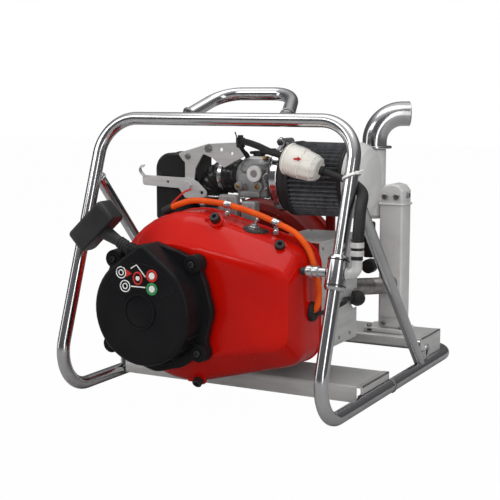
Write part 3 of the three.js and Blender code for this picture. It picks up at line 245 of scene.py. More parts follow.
def rounded_plate(outline, holes, thick, bevel=0.8):
    """A flat outline with holes, given a thickness and a rounded edge, as points with x and y in the
    plane and z through it from 0."""
    curve = bpy.data.curves.new("plate", "CURVE")
    curve.dimensions, curve.fill_mode = "2D", "BOTH"
    curve.extrude, curve.bevel_depth, curve.bevel_resolution = thick / 2 - bevel, bevel, 2
    curve.offset = -bevel
    for line in [outline, *holes]:
        flat = np.column_stack([np.asarray(line)[:, :2], np.zeros(len(line)), np.ones(len(line))])
        run = curve.splines.new("POLY")
        run.points.add(len(flat) - 1)
        run.points.foreach_set("co", flat.astype(np.float32).ravel())
        run.use_cyclic_u = True
    holder = bpy.data.objects.new("plate", curve)
    mesh = bpy.data.meshes.new_from_object(holder)
    work = bmesh.new()
    work.from_mesh(mesh)
    bmesh.ops.remove_doubles(work, verts=work.verts, dist=0.01)
    bmesh.ops.triangulate(work, faces=work.faces)
    bmesh.ops.recalc_face_normals(work, faces=work.faces)
    work.to_mesh(mesh)
    work.free()
    points = np.empty(len(mesh.vertices) * 3)
    mesh.vertices.foreach_get("co", points)
    faces = np.empty(len(mesh.polygons) * 3, int)
    mesh.polygons.foreach_get("vertices", faces)
    bpy.data.objects.remove(holder)
    bpy.data.curves.remove(curve)
    bpy.data.meshes.remove(mesh)
    return outward(points.reshape(-1, 3) + [0, 0, thick / 2], [faces.reshape(-1, 3)])


def plate_xz(outline, y0, y1, holes=(), bevel=0.8):
    """A rounded plate whose outline is in X and Z, from y0 back to y1."""
    points, faces = rounded_plate(outline, holes, y1 - y0, bevel)
    return outward(np.column_stack([points[:, 0], y0 + points[:, 2], points[:, 1]]), faces)


def slab(x0, x1, y0, y1, z0, z1, r=2.0, corner=None):
    """A box with rounded edges: a rounded rectangle in X and Y carried up Z."""
    c = [(x0, y0, 0), (x1, y0, 0), (x1, y1, 0), (x0, y1, 0)]
    outline = arc_corners(c, r if corner is None else corner, 6, True)
    points, faces = rounded_plate(outline, [], z1 - z0, min(r, (z1 - z0) / 2.1))
    return points + [0, 0, z0], faces


def circle(x, z, r, sides=32):
    """Points round a circle in a plane."""
    a = np.arange(sides) / sides * TAU
    return np.column_stack([x + r * np.cos(a), z + r * np.sin(a)])


def cap_screw(at, axis, r, h, teeth=24):
    """A knurled cap screw: a waved cylinder with a chamfer and a six-sided socket in its top."""
    p = [(0, 0), (r - 0.4, 0), (r, 0.4), (r, h - 1), (r - 1, h), (r * 0.52, h), (r * 0.5, h * 0.45),
         (0, h * 0.45)]
    return turned(p, at, axis, 96, 0, (5, 6), (2, 3), teeth, 0.045)


def hex_head(at, axis, r, h):
    """A six-sided head on a round flange."""
    p = [(0, 0), (r * 1.15, 0), (r * 1.15, 1), (r * 0.98, 1.2), (r * 0.98, h - 0.8), (r * 0.86, h), (0, h)]
    return turned(p, at, axis, 48, 0, (3, 4, 5))


def plain_ring(inner, outer, half, at, way, sides=48, soft=0.8):
    """A ring of rectangular section round an axis, reaching half its width to each side of the point."""
    return turned([(inner, -half), (outer, -half), (outer, half), (inner, half)], at, way, sides, soft)


def torus(at, axis, ring, r, sides=12):
    """A bead: a circle carried round a circle."""
    axis = unit(np.asarray(axis, float))
    side = unit(np.cross(axis, X if abs(axis[0]) < 0.7 else Z))
    a = np.arange(64)[:, None] / 64 * TAU
    path = np.asarray(at) + ring * (side * np.cos(a) + np.cross(axis, side) * np.sin(a))
    return tube(path, r, sides, loop=True)


def put(name, shells, material, body="unit", replaces=()):
    """Joins shells into one object, moves it from millimetres into the frame's metres and lets it ride."""
    shells = shells if isinstance(shells, list) else [shells]
    base = np.cumsum([0] + [len(p) for p, _ in shells])
    points = np.vstack([p for p, _ in shells]) / 1000 + SHIFT
    faces = [row for (_, parts), b in zip(shells, base) for f in parts for row in (f + b).tolist()]
    mesh = bpy.data.meshes.new(name)
    mesh.from_pydata(points.tolist(), [], faces)
    mesh.shade_smooth()
    mesh.set_sharp_from_angle(angle=EDGE_ANGLE)
    piece = bpy.data.objects.new(name, mesh)
    bpy.context.scene.collection.objects.link(piece)
    mesh.materials.append(MATERIALS[material][0])
    if body:
        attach(piece, body)
    if replaces:
        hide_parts(*replaces)
    return piece


# ---- materials ----


def node_group(name, inputs, outputs):
    """An empty shader group with named sockets, its input and output nodes, and a maker of nodes."""
    tree = bpy.data.node_groups.new(name, "ShaderNodeTree")
    for label, kind, value in inputs:
        tree.interface.new_socket(label, in_out="INPUT", socket_type=kind).default_value = value
    for label, kind in outputs:
        tree.interface.new_socket(label, in_out="OUTPUT", socket_type=kind)
    return tree, tree.nodes.new("NodeGroupInput"), tree.nodes.new("NodeGroupOutput")


def noise(tree, vector, scale, detail):
    """A noise node fed by a vector socket and a scale socket or number."""
    node = tree.nodes.new("ShaderNodeTexNoise")
    node.inputs["Detail"].default_value = detail
    tree.links.new(vector, node.inputs["Vector"])
    if isinstance(scale, float):
        node.inputs["Scale"].default_value = scale
    else:
        tree.links.new(scale, node.inputs["Scale"])
    return node.outputs["Fac"]


def stretched(tree, source):
    """Object coordinates scaled by the group's own stretch."""
    coordinates = tree.nodes.new("ShaderNodeTexCoord")
    mapping = tree.nodes.new("ShaderNodeMapping")
    tree.links.new(coordinates.outputs["Object"], mapping.inputs["Vector"])
    tree.links.new(source, mapping.inputs["Scale"])
    return mapping.outputs["Vector"]


def ranged(tree, value, low, high, to_low, to_high):
    """A value moved from one range to another, whose ends may be sockets."""
    node = tree.nodes.new("ShaderNodeMapRange")
    tree.links.new(value, node.inputs["Value"])
    for label, given in (("From Min", low), ("From Max", high), ("To Min", to_low), ("To Max", to_high)):
        if isinstance(given, (int, float)):
            node.inputs[label].default_value = given
        else:
            tree.links.new(given, node.inputs[label])
    return node.outputs["Result"]


def make_handled_surface():
    """Group: two tones mixed by broad stains and fine streaks, and a roughness that follows the stains."""
    tree, given, out = node_group(
        "handled surface",
        [("Clean", "NodeSocketColor", (1, 1, 1, 1)), ("Worn", "NodeSocketColor", (0, 0, 0, 1)),
         ("Stain scale", "NodeSocketFloat", 20.0), ("Stretch", "NodeSocketVector", (1, 1, 1)),
         ("Smooth", "NodeSocketFloat", 0.2), ("Rough", "NodeSocketFloat", 0.4)],
        [("Color", "NodeSocketColor"), ("Roughness", "NodeSocketFloat")])
    where = stretched(tree, given.outputs["Stretch"])
    stains = noise(tree, where, given.outputs["Stain scale"], 5.0)
    fine = noise(tree, where, 420.0, 3.0)
    blend = tree.nodes.new("ShaderNodeMath")
    blend.operation = "MULTIPLY_ADD"
    blend.inputs[1].default_value = 0.35
    tree.links.new(fine, blend.inputs[0])
    tree.links.new(ranged(tree, stains, 0.35, 0.7, 0.0, 0.75), blend.inputs[2])
    mix = tree.nodes.new("ShaderNodeMix")
    mix.data_type = "RGBA"
    tree.links.new(blend.outputs[0], mix.inputs["Factor"])
    tree.links.new(given.outputs["Clean"], mix.inputs["A"])
    tree.links.new(given.outputs["Worn"], mix.inputs["B"])
    tree.links.new(mix.outputs["Result"], out.inputs["Color"])
    worn = ranged(tree, blend.outputs[0], 0.0, 1.0, given.outputs["Smooth"], given.outputs["Rough"])
    tree.links.new(worn, out.inputs["Roughness"])
    return tree


def make_relief():
    """Group: a height of fine grain on a slower swell, for casting skin, moulded grain or brushing."""
    tree, given, out = node_group(
        "relief",
        [("Grain scale", "NodeSocketFloat", 800.0), ("Stretch", "NodeSocketVector", (1, 1, 1)),
         ("Swell", "NodeSocketFloat", 0.3)],
        [("Height", "NodeSocketFloat")])
    where = stretched(tree, given.outputs["Stretch"])
    grain = noise(tree, where, given.outputs["Grain scale"], 2.0)
    swell = noise(tree, where, 60.0, 2.0)
    add = tree.nodes.new("ShaderNodeMath")
    add.operation = "MULTIPLY_ADD"
    tree.links.new(swell, add.inputs[0])
    tree.links.new(given.outputs["Swell"], add.inputs[1])
    tree.links.new(grain, add.inputs[2])
    tree.links.new(add.outputs[0], out.inputs["Height"])
    return tree


# slot, clean, worn, metallic, smooth, rough, stain scale, stretch, grain scale, swell, bump, coat
FINISHES = {
    "tube steel": ("stainless", (0.74, 0.74, 0.75), (0.6, 0.6, 0.61), 1, 0.1, 0.22, 14, (1, 1, 1), 700, 0.4,
                   0.05, 0),
    "weld": ("stainless", (0.5, 0.49, 0.48), (0.28, 0.25, 0.22), 1, 0.25, 0.5, 90, (1, 1, 1), 500, 1, 0.5, 0),
    "brushed steel": ("stainless", (0.74, 0.74, 0.75), (0.62, 0.62, 0.63), 1, 0.2, 0.34, 12, (1, 1, 1), 500,
                      0.3, 0.08, 0),
    "sheet steel": ("sheet_steel", (0.66, 0.66, 0.65), (0.54, 0.54, 0.53), 0.4, 0.28, 0.46, 16, (1, 1, 8), 420,
                    0.5, 0.12, 0),
    "cast metal": ("cast_aluminium", (0.4, 0.4, 0.41), (0.25, 0.248, 0.245), 0.6, 0.42, 0.66, 45, (1, 1, 1),
                   900, 0.9, 0.55, 0),
    "light casting": ("cast_aluminium", (0.72, 0.72, 0.71), (0.6, 0.6, 0.59), 0.2, 0.36, 0.55, 24, (1, 1, 1),
                      700, 0.6, 0.25, 0),
    "band steel": ("stainless", (0.82, 0.82, 0.83), (0.66, 0.66, 0.67), 1, 0.08, 0.2, 20, (1, 1, 1), 300, 0.2,
                   0.05, 0),
    "machined steel": ("machined_steel", (0.55, 0.55, 0.56), (0.36, 0.36, 0.36), 1, 0.22, 0.42, 40, (1, 1, 6),
                       900, 0.2, 0.15, 0),
    "gloss red": ("red_paint", (0.56, 0.006, 0.001), (0.44, 0.003, 0.001), 0, 0.16, 0.3, 9, (1, 1, 1), 260, 0.6,
                  0.05, 0.22),
    "dark red": ("dark_red_paint", (0.2, 0.008, 0.005), (0.11, 0.006, 0.005), 0, 0.25, 0.45, 18, (1, 1, 1), 320,
                 0.7, 0.12, 0.3),
    "satin black": ("black_plastic", (0.016, 0.016, 0.017), (0.028, 0.028, 0.029), 0, 0.3, 0.46, 12, (1, 1, 1),
                    1300, 0.3, 0.12, 0),
    "starter black": ("black_plastic", (0.006, 0.006, 0.007), (0.012, 0.012, 0.013), 0, 0.24, 0.36, 12,
                      (1, 1, 1), 1300, 0.3, 0.1, 0),
    "gloss black": ("black_plastic", (0.012, 0.012, 0.013), (0.022, 0.022, 0.023), 0, 0.12, 0.26, 10, (1, 1, 1),
                    300, 0.5, 0.06, 0.4),
    "rubber": ("black_rubber", (0.01, 0.01, 0.011), (0.022, 0.022, 0.021), 0, 0.45, 0.68, 22, (1, 1, 1), 800,
               0.5, 0.25, 0),
    "pleated cloth": ("filter_pleats", (0.13, 0.135, 0.145), (0.05, 0.051, 0.055), 0, 0.6, 0.85, 60, (3, 1, 1),
                      1100, 0.4, 0.5, 0),
    "orange sleeve": ("orange_sleeve", (0.86, 0.12, 0.012), (0.62, 0.07, 0.008), 0, 0.28, 0.5, 30, (1, 1, 1),
                      700, 0.4, 0.15, 0.1),
    "cream shell": ("cream_plastic", (0.93, 0.91, 0.86), (0.86, 0.82, 0.72), 0, 0.16, 0.3, 30, (1, 1, 1), 300,
                    0.6, 0.06, 0.2),
    "clear shell": ("cream_plastic", (1.0, 0.99, 0.96), (0.96, 0.94, 0.9), 0, 0.06, 0.14, 30, (1, 1, 1), 300,
                    0.6, 0.03, 0.2),
    "filter paper": ("cream_plastic", (1.0, 0.98, 0.93), (0.93, 0.9, 0.82), 0, 0.6, 0.8, 60, (1, 1, 1), 900,
                     0.3, 0.4, 0),
    "white plastic": ("white_plastic", (0.86, 0.86, 0.84), (0.7, 0.7, 0.68), 0, 0.3, 0.5, 25, (1, 1, 1), 600,
                      0.4, 0.12, 0),
    "braided rope": ("natural_rope", (0.7, 0.68, 0.62), (0.42, 0.4, 0.35), 0, 0.7, 0.9, 200, (1, 1, 3), 1400,
                     0.4, 0.6, 0),
    "brass": ("machined_steel", (0.72, 0.5, 0.2), (0.5, 0.33, 0.13), 1, 0.22, 0.4, 60, (1, 1, 1), 700, 0.3,
              0.15, 0),
    "red mark": ("red_paint", (0.6, 0.02, 0.015), (0.45, 0.015, 0.01), 0, 0.3, 0.45, 30, (1, 1, 1), 500, 0.3,
                 0.08, 0),
    "green mark": ("red_paint", (0.03, 0.28, 0.08), (0.02, 0.2, 0.05), 0, 0.3, 0.45, 30, (1, 1, 1), 500, 0.3,
                   0.08, 0),
    "dark plate": ("black_plastic", (0.05, 0.045, 0.042), (0.09, 0.085, 0.08), 0.6, 0.3, 0.5, 30, (1, 1, 1),
                   700, 0.4, 0.2, 0),
}


def make_material(name, groups, row):
    """A principled surface whose colour and roughness come from the handling group and its bump from relief."""
    _, clean, worn, metallic, smooth, rough, stain, stretch, grain, swell, bump, coat = row
    material = bpy.data.materials.new(name)
    material.use_nodes = True
    tree = material.node_tree
    shader = tree.nodes["Principled BSDF"]
    handled, relief = tree.nodes.new("ShaderNodeGroup"), tree.nodes.new("ShaderNodeGroup")
    handled.node_tree, relief.node_tree = groups
    for label, value in (("Clean", (*clean, 1)), ("Worn", (*worn, 1)), ("Stain scale", stain),
                         ("Stretch", stretch), ("Smooth", smooth), ("Rough", rough)):
        handled.inputs[label].default_value = value
    for label, value in (("Grain scale", grain), ("Stretch", stretch), ("Swell", swell)):
        relief.inputs[label].default_value = value
    lift = tree.nodes.new("ShaderNodeBump")
    lift.inputs["Strength"].default_value = bump
    lift.inputs["Distance"].default_value = 0.0006
    tree.links.new(relief.outputs["Height"], lift.inputs["Height"])
    tree.links.new(handled.outputs["Color"], shader.inputs["Base Color"])
    tree.links.new(handled.outputs["Roughness"], shader.inputs["Roughness"])
    tree.links.new(lift.outputs["Normal"], shader.inputs["Normal"])
    shader.inputs["Metallic"].default_value = metallic
    shader.inputs["Coat Weight"].default_value = coat
    shader.inputs["Coat Roughness"].default_value = 0.05
    shader.inputs["Specular IOR Level"].default_value = 0.12 if coat or name == "starter black" else 0.4
    if name == "clear shell":
        shader.inputs["Alpha"].default_value = 0.45
    return material


MATERIALS = {}


def make_finishes(colours):
    """Every finish once; the colours that the user may change are put in first."""
    groups = make_handled_surface(), make_relief()
    for name, row in FINISHES.items():
        clean = tuple(colours.get(name, row[1]))
        MATERIALS[name] = make_material(name, groups, (row[0], clean, *row[2:])), row[0]


BY_SLOT = {
    "stainless": "brushed steel", "sheet_steel": "sheet steel", "cast_aluminium": "cast metal",
    "machined_steel": "machined steel", "red_paint": "gloss red", "dark_red_paint": "dark red",
    "black_plastic": "satin black", "black_rubber": "rubber", "filter_pleats": "pleated cloth",
    "orange_sleeve": "orange sleeve", "cream_plastic": "cream shell", "white_plastic": "white plastic",
    "natural_rope": "braided rope",
}


def finish_nodes():
    """Gives each node of the frame the finish of its material slot."""
    slots = {part["node"]: part["material_slot"] for part in frame["record"]["subparts"]}
    for name, node in frame["nodes"].items():
        node.data.materials.clear()
        node.data.materials.append(MATERIALS[BY_SLOT[slots[name]]][0])


# ---- frame ----


def build_frame(s):
    """Bent tubes: circles carried along lines with rounded corners; plates: channels carried across."""
    r, bend = s.tube_radius * 1000, s.bend_radius * 1000
    side = lambda w: [(w, 300, RAIL_Z), (w, 0, RAIL_Z), (w, LEAN, TOP_Z)]
    hoop = arc_corners(side(-HALF_WIDTH) + side(HALF_WIDTH)[::-1], bend, 16)
    put("hoop_tube", tube(hoop, r, 40), "tube steel", replaces=["front_hoop"])
    loop = [(-HALF_WIDTH, 300.4, RAIL_Z), (-HALF_WIDTH, LENGTH, RAIL_Z),
            (HALF_WIDTH, LENGTH, RAIL_Z), (HALF_WIDTH, 300.4, RAIL_Z)]
    put("loop_tube", tube(arc_corners(loop, bend, 16), r, 40), "tube steel", replaces=["rear_loop"])
    foot = lambda w: (14 + 90 * w, LEAN + r + 2.4, TOP_Z + 6)
    grip = lambda w: (14 + 65 * w, LEAN + 86, TOP_Z + 40)
    handle = arc_corners([foot(-1), grip(-1), grip(1), foot(1)], 48, 18)
    put("handle_tube", tube(handle, r, 40), "tube steel", replaces=["carry_handle"])
    beads = [torus((w * HALF_WIDTH, y, RAIL_Z), Y, r + 0.2, 1.3) for w in (-1, 1) for y in (299.4, 301.2)]
    for w in (-1, 1):
        lean = np.array(grip(w)) - foot(w)
        beads.append(torus(np.array(foot(w)) + unit(lean) * 1.5, lean, r + 0.4, 2))
    for w in (-1, 1):
        for y0, y1 in ((187, 300), (458, 558)):
            y = np.linspace(y0, y1, 90)
            bead = np.column_stack([np.full(90, w * 221.5), y, np.full(90, 17.5)])
            beads.append(tube(bead, 2.2 + 0.5 * np.sin(np.arange(90) * 1.1), 10, round_end=1))
    for w in (-1, 1):
        beads.append(tube([(w * HALF_WIDTH, 436, 21.4), (w * HALF_WIDTH, 470, 21.4)], 2.4, 10, round_end=1))
    for name, w in (("left_brace", -1), ("right_brace", 1)):
        top, end = np.array([w * HALF_WIDTH, post_y(BRACE_TOP_Z),
                             BRACE_TOP_Z]), np.array([w * HALF_WIDTH, 453, RAIL_Z])
        way = unit(end - top)
        reach = np.linalg.norm(end - top)
        middle = top + way * np.linspace(15, reach - 15, 30)[:, None]
        seat = torus(top + way * 14, way, 9.4, 1.8)
        lug = plain_ring(5, 12, 3, (w * HALF_WIDTH, 478, 35), X, 48, 1.2)
        web = slab(w * HALF_WIDTH - 3, w * HALF_WIDTH + 3, 436, 474, 19, 40, 1.4, 1.4)
        put(name + "_tube", [tube(middle, 9.5, 32, round_end=2), seat, lug, web], "tube steel", replaces=[name])
    put("frame_welds", beads, "weld")
    for name, y0, y1, top, skirt in (("base_plate", 185, 302, 35, 27), ("rear_tray", 456, 560, 60, 16)):
        section = [(y0, top - skirt), (y0, top), (y1, top), (y1, top - skirt),
                   (y1 - 3, top - skirt), (y1 - 3, top - 3), (y0 + 3, top - 3), (y0 + 3, top - skirt)]
        outline = arc_corners(section, [0, 4, 4, 0, 0, 1, 1, 0], 6, True)
        points, faces = rounded_plate(outline, [], 435.6, 0.4)
        channel = outward(np.column_stack([points[:, 2] - 217.8, points[:, 0], points[:, 1]]), faces)
        shells = [channel]
        for w in (-1, 1):
            legs = sorted((w * 228, w * 225)) + [y0, y1, 21.9, top]
            ledge = sorted((w * 217, w * 228)) + [y0 + 0.5, y1 - 0.5, top - 3, top]
            shells += [slab(*legs, 0.8), slab(*ledge, 0.8)]
        put(name + "_sheet", shells, "sheet steel", replaces=[name])


# ---- cowl, leads on it and switch ----


def build_cowl(s):
    """Outer and inner belt outlines, mixed by how far in the profile has come, then blended into the
    round fan opening; the wall comes back inside it."""
    outer = belt([(-32, 171, 136), (134, 113, 38), (134, 228, 38)])
    inner = belt([(-32, 171, 92), (136, 138, 28), (136, 206, 28)])
    profile = arc_corners([(0, 150), (0, 86), (44, 50), (62, 48)],
                          [0, s.crease_radius * 2000, s.crease_radius * 1000, 0], 8)
    profile = profile[profile[:, 0] <= 44.01]
    wall = np.column_stack([np.zeros(8), np.linspace(150, profile[1, 1] + 2, 8)])
    profile = np.vstack([wall, profile[1:]])
    mix = (profile[:, 0] / 44)[:, None, None]
    flat = outer * (1 - mix) + inner * mix
    centre = np.array([CRANK_X, CRANK_Z])
    opening = centre + unit(inner - centre) * 82
    q = np.linspace(0, 1, 9)[1:, None, None]
    flat = np.concatenate([flat, inner * (1 - q) + opening * q])
    y = np.concatenate([profile[:, 1], 49.6 - 1.6 * np.cos(np.linspace(0, 1, 9)[1:] * math.pi)])
    rows = np.stack([flat[..., 0], np.broadcast_to(y[:, None], flat.shape[:2]), flat[..., 1]], -1)
    inside = rows * [0.984, 1, 0.984] + [0.3, 2.5, 2.7]
    inside[..., 1] = np.minimum(inside[..., 1], 149.6)
    put("cowl_shell", grid(np.concatenate([rows, inside[::-1]]), True), "gloss red", replaces=["fan_cowl"])
    rim = ring_at(outer, 148.5)
    put("cowl_rim", tube(rim, 1.8, 10, loop=True), "gloss red")
    screws = [((24, 84, 297), (0.1, -0.75, 0.65)), ((134, 84, 262), (0.35, -0.75, 0.6)),
              ((-8, 84, 42), (0, -0.8, -0.55))]
    put("cowl_screws", [cap_screw(at, axis, 7.5, 11) for at, axis in screws], "satin black")
    tabs = []
    for at, axis in screws:
        n = unit(np.array(axis))
        tabs.append(turned([(0, -3), (12, -3), (12, 0.5), (0, 0.5)], at, n, 40, 1.2))
        tabs.append(slab(at[0] - 20, at[0] - 6, at[1] - 3, at[1] + 12, at[2] - 5, at[2] + 4, 2))
    put("cowl_tabs", tabs, "gloss red")
    put("corner_bolt", hex_head((104, 100, 78), (0.2, -0.6, -0.75), 5, 4), "machined steel")
    grommet = [(4, 166), (9, 166), (9, 171.5), (14.5, 171.5), (15.5, 174), (14, 178), (9, 180), (4, 179)]
    put("lead_grommet", turned(grommet, (0, 116, 162), X, 48, 1.2), "rubber")
    base, up = np.array([78.0, 106, 284]), unit(np.array([0.22, -0.1, 1]))
    plate = turned([(0, -6), (17, -6), (17, 0.5), (0, 0.5)], base, up, 40, 1)
    put("switch_plate", [plate, slab(60, 96, 98, 122, 274, 283, 2)], "dark plate")
    bush = [hex_head(base + up * 0.5, up, 9, 5), turned([(2.9, -2), (6, -2), (6, 8), (5.2, 9), (2.9, 9)], base,
                                                        up, 40, 0.3)]
    put("switch_bush", bush, "machined steel", replaces=["toggle_switch"])
    pivot, tilt = base + up * 2, math.radians(12)
    lean = np.array([up[0] * math.cos(tilt) + up[2] * math.sin(tilt), up[1],
                     up[2] * math.cos(tilt) - up[0] * math.sin(tilt)])
    bat = tube(pivot + lean * np.linspace(0, 15, 12)[:, None], np.linspace(1.5, 2.7, 12), 24, round_end=2.4)
    put("switch_lever", bat, "brushed steel", "switch_bat", ["switch_bat"])


LEAD = [(-86.6, 118, 304.5), (-65.7, 118, 314.3), (-37.7, 118, 321.9), (-1.1, 118, 321.2), (26.6, 120, 317.5),
        (69.8, 122, 306.9), (112, 120, 293), (146, 116, 279), (168, 112, 257.5), (180, 110, 230),
        (185, 112, 205), (185, 114, 184), (180.5, 113, 168), (172, 113, 163.5), (162, 113, 163)]


def build_leads(s):
    """Sleeved lead and thin wire: circles carried along Catmull-Rom curves, the sleeve's radius rippled."""
    r = s.lead_radius * 1000
    path = spline(LEAD, 220)
    ribs = 1 + 0.035 * np.sin(np.arange(220) * 1.9)
    put("sleeved_lead", tube(path, r * ribs, 24, round_end=2), "orange sleeve", replaces=["orange_lead"])
    clips = []
    for k, foot in ((4, (24, 112, 296)), (6, (118, 112, 271))):
        at = path[int(k * 219 / (len(LEAD) - 1))]
        way = path[int(k * 219 / (len(LEAD) - 1)) + 3] - at
        clips += [plain_ring(r + 0.2, r + 1.4, 6, at, way, 40, 0.4),
                  slab(at[0] - 4, at[0] + 4, at[1] - 2.6, at[1] - 1.4, foot[2] + 4, at[2] - 2, 0.5),
                  hex_head((at[0], at[1] - 2.6, foot[2] + 8), (0, -1, 0.2), 3.4, 2.4)]
    put("lead_clips", clips, "brushed steel")
    wire = [(-84, 116, 305), (-76, 118, 316), (-66, 120, 326), (-58, 124, 334), (-52, 135, 338)]
    put("red_wire", tube(spline(wire, 40), 1.6, 12, round_end=1), "red mark")
    sleeve = plain_ring(r + 0.1, r + 2.2, 9, (-84, 118, 305.5), (1, 0, 0.47), 32, 0.8)
    put("lead_end_sleeve", sleeve, "rubber")


# ---- recoil starter ----

ROPE_ANGLE = math.radians(27)
ROPE_WAY = np.array([-math.cos(ROPE_ANGLE), 0, math.sin(ROPE_ANGLE)])
ROPE_FROM = np.array([CRANK_X, 15.5, CRANK_Z]) + 67.1 * np.array([math.sin(ROPE_ANGLE), 0,
                                                                  math.cos(ROPE_ANGLE)])
EYELET = math.sqrt(99**2 - 67.1**2)


def rope_at(distance):
    """The point so far along the rope's straight run."""
    return ROPE_FROM + ROPE_WAY * distance


def build_starter():
    """A drop-shaped cover: belt outlines drawn in as the profile comes forward, then shrunk to the
    middle; flange, boss ring and lugs are turned."""
    outline = lambda i: belt([(CRANK_X, CRANK_Z, 85 - i), (CRANK_X, 252, max(12 - i, 1.5))], 40)
    profile = arc_corners([(0, 44), (0, -8.5), (16, -8.5)], [0, 7, 0], 8)
    rows = [ring_at(outline(i), y) for i, y in profile]
    last, middle = outline(16), np.array([CRANK_X, CRANK_Z + 6])
    for k, y in ((0.96, -8.5), (0.8, -8.5), (0.6, -8.5), (0.3, -8.5)):
        rows.append(ring_at(middle + (last - middle) * k, y))
    shells = [grid(np.array(rows))]
    lugs = [45.6, 135, -38, -141]
    around = np.linspace(0, TAU, 241)[:-1]
    bumps = sum(np.exp(-((((around - math.radians(v) + math.pi) % TAU) - math.pi) / 0.13) ** 2) for v in lugs)
    wave = 100 + 17 * bumps + 1.2 * np.cos(12 * around)
    hub = np.array([CRANK_X, CRANK_Z])
    spokes = np.column_stack([np.cos(around), np.sin(around)])
    lip = [(wave * 0 + 78, 33), (wave - 2, 33), (wave, 35), (wave, 44), (wave - 2, 46), (wave * 0 + 78, 46)]
    shells.append(grid(np.array([ring_at(hub + spokes * w[:, None], y) for w, y in lip]), True))
    shells.append(turned([(24.8, -10.8), (27.6, -10.8), (27.6, -7), (24.8, -7)], (CRANK_X, 0, CRANK_Z), Y, 72,
                         0.8))
    shells.append(turned([(0, -9.3), (24.4, -9.3), (24.4, -7), (0, -7)], (CRANK_X, 0, CRANK_Z), Y, 72, 0.6))
    for angle in lugs:
        a = math.radians(angle)
        at = (CRANK_X + LUG_RING * math.cos(a), 0, CRANK_Z + LUG_RING * math.sin(a))
        shells.append(turned([(0, 26), (14, 26), (15.5, 46), (0, 46)], at, Y, 40, 1.2))
        shells.append(turned([(7.5, 24.6), (11, 24.6), (11, 28), (7.5, 28)], at, Y, 40, 0.8))
        rib = np.array(at) + [0, 38, 0]
        shells.append(tube([rib - [20 * math.cos(a), 0, 20 * math.sin(a)], rib], 8, 16))
    for angle in np.radians([200, 215, 230, 245, 260, 275, 290, 305, 320, 335]):
        out = np.array([math.cos(angle), 0, math.sin(angle)])
        at = np.array([CRANK_X, 0, CRANK_Z])
        shells.append(tube([at + out * 85.6 + [0, 4, 0], at + out * 85.6 + [0, 36, 0]], 2.2, 12, round_end=2))
    guide = [(2.8, -22), (12.5, -22), (11, -4), (9, 4), (5, 5), (2.8, 3)]
    shells.append(turned(guide, rope_at(EYELET), ROPE_WAY, 40, 1.2))
    put("starter_cover", shells, "starter black", replaces=["starter_housing"])
    heads = []
    for angle in lugs:
        a = math.radians(angle)
        heads.append(cap_screw((CRANK_X + LUG_RING * math.cos(a), 26, CRANK_Z + LUG_RING * math.sin(a)), -Y,
                               5.5, 4))
    put("starter_screws", heads, "gloss black")
    on = lambda x, z, y=-8.7: np.array([CRANK_X + x, y, CRANK_Z + z])
    arc = np.radians(np.linspace(30, 150, 40))
    sector = [on(34 * math.cos(a), 34 * math.sin(a)) for a in arc]
    sector += [on(74 * math.cos(a), 74 * math.sin(a)) for a in arc[::-1]]
    put("panel_rib", tube(arc_corners(sector, 2, 3, True), 0.9, 8, loop=True), "starter black")
    disc = lambda x, z, r: turned([(0, -9.3), (r, -9.3), (r, -8.2), (0, -8.2)], on(x, z, 0), Y, 32, 0.3)
    oval = np.radians(np.arange(0, 360, 9))[:, None]
    egg = on(-3, 51.5) + np.array([7.4, 0, 0]) * np.cos(oval) + np.array([0, 0, 9]) * np.sin(oval)
    lines = [tube([on(-15, 66), on(-4.7, 72), on(11, 54.5)], 1, 8), tube([on(-15, 38.5), on(11, 38.5)], 1, 8)]
    lines += [torus(on(x, z), Y, q, 0.9) for x, z in ((-33, 58.5), (-26, 38)) for q in (8.6, 4)]
    put("panel_lines", [*lines, disc(22.4, 57, 5.4), disc(22.2, 37, 5.4), disc(-3, 51.5, 3.6)], "white plastic")
    arrow = plate_xz([(CRANK_X - 24, CRANK_Z + 52), (CRANK_X - 13, CRANK_Z + 58), (CRANK_X - 24, CRANK_Z + 64)],
                     -9.2, -8.2, bevel=0.1)
    put("panel_red_marks", [arrow, tube(egg, 1.5, 8, loop=True), torus(on(22.4, 57), Y, 8, 1.8)], "red mark")
    put("panel_green_mark", torus(on(22.2, 37), Y, 8, 1.8), "green mark")
    stem = EYELET + 5
    middle, bar = rope_at(stem + 64), np.array([0.7314, 0, 0.6820])
    up = np.array([-0.6820, 0, 0.7314])
    points, faces = slab(-42, 42, -19, 19, -20, 20, 4, 9)
    across, depth, height = points[:, :1], points[:, 1:2], points[:, 2:]
    points = across * bar + depth * Y + height * (1 - 0.1 * (across / 42) ** 2) * up
    handle = outward(points + middle, faces)
    neck = turned([(0, -2), (8, -2), (8.5, 18), (12, 48), (0, 48)], rope_at(stem), ROPE_WAY, 40, 1.5)
    ridges = [torus(rope_at(stem + k), ROPE_WAY, 8.6, 1.2) for k in (3, 8, 13)]
    put("pull_handle", [handle, neck, *ridges], "satin black", "grip", ["pull_grip"])
    run = rope_at(0) + ROPE_WAY * np.linspace(50, stem + 2, 60)[:, None]
    rope = tube(run, 2.2 * (1 + 0.06 * np.sin(np.arange(60) * 1.3)), 16)
    piece = put("pull_rope", rope, "braided rope", None, ["starter_rope"])
    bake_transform(piece)


# ---- air duct, plug, engine ----


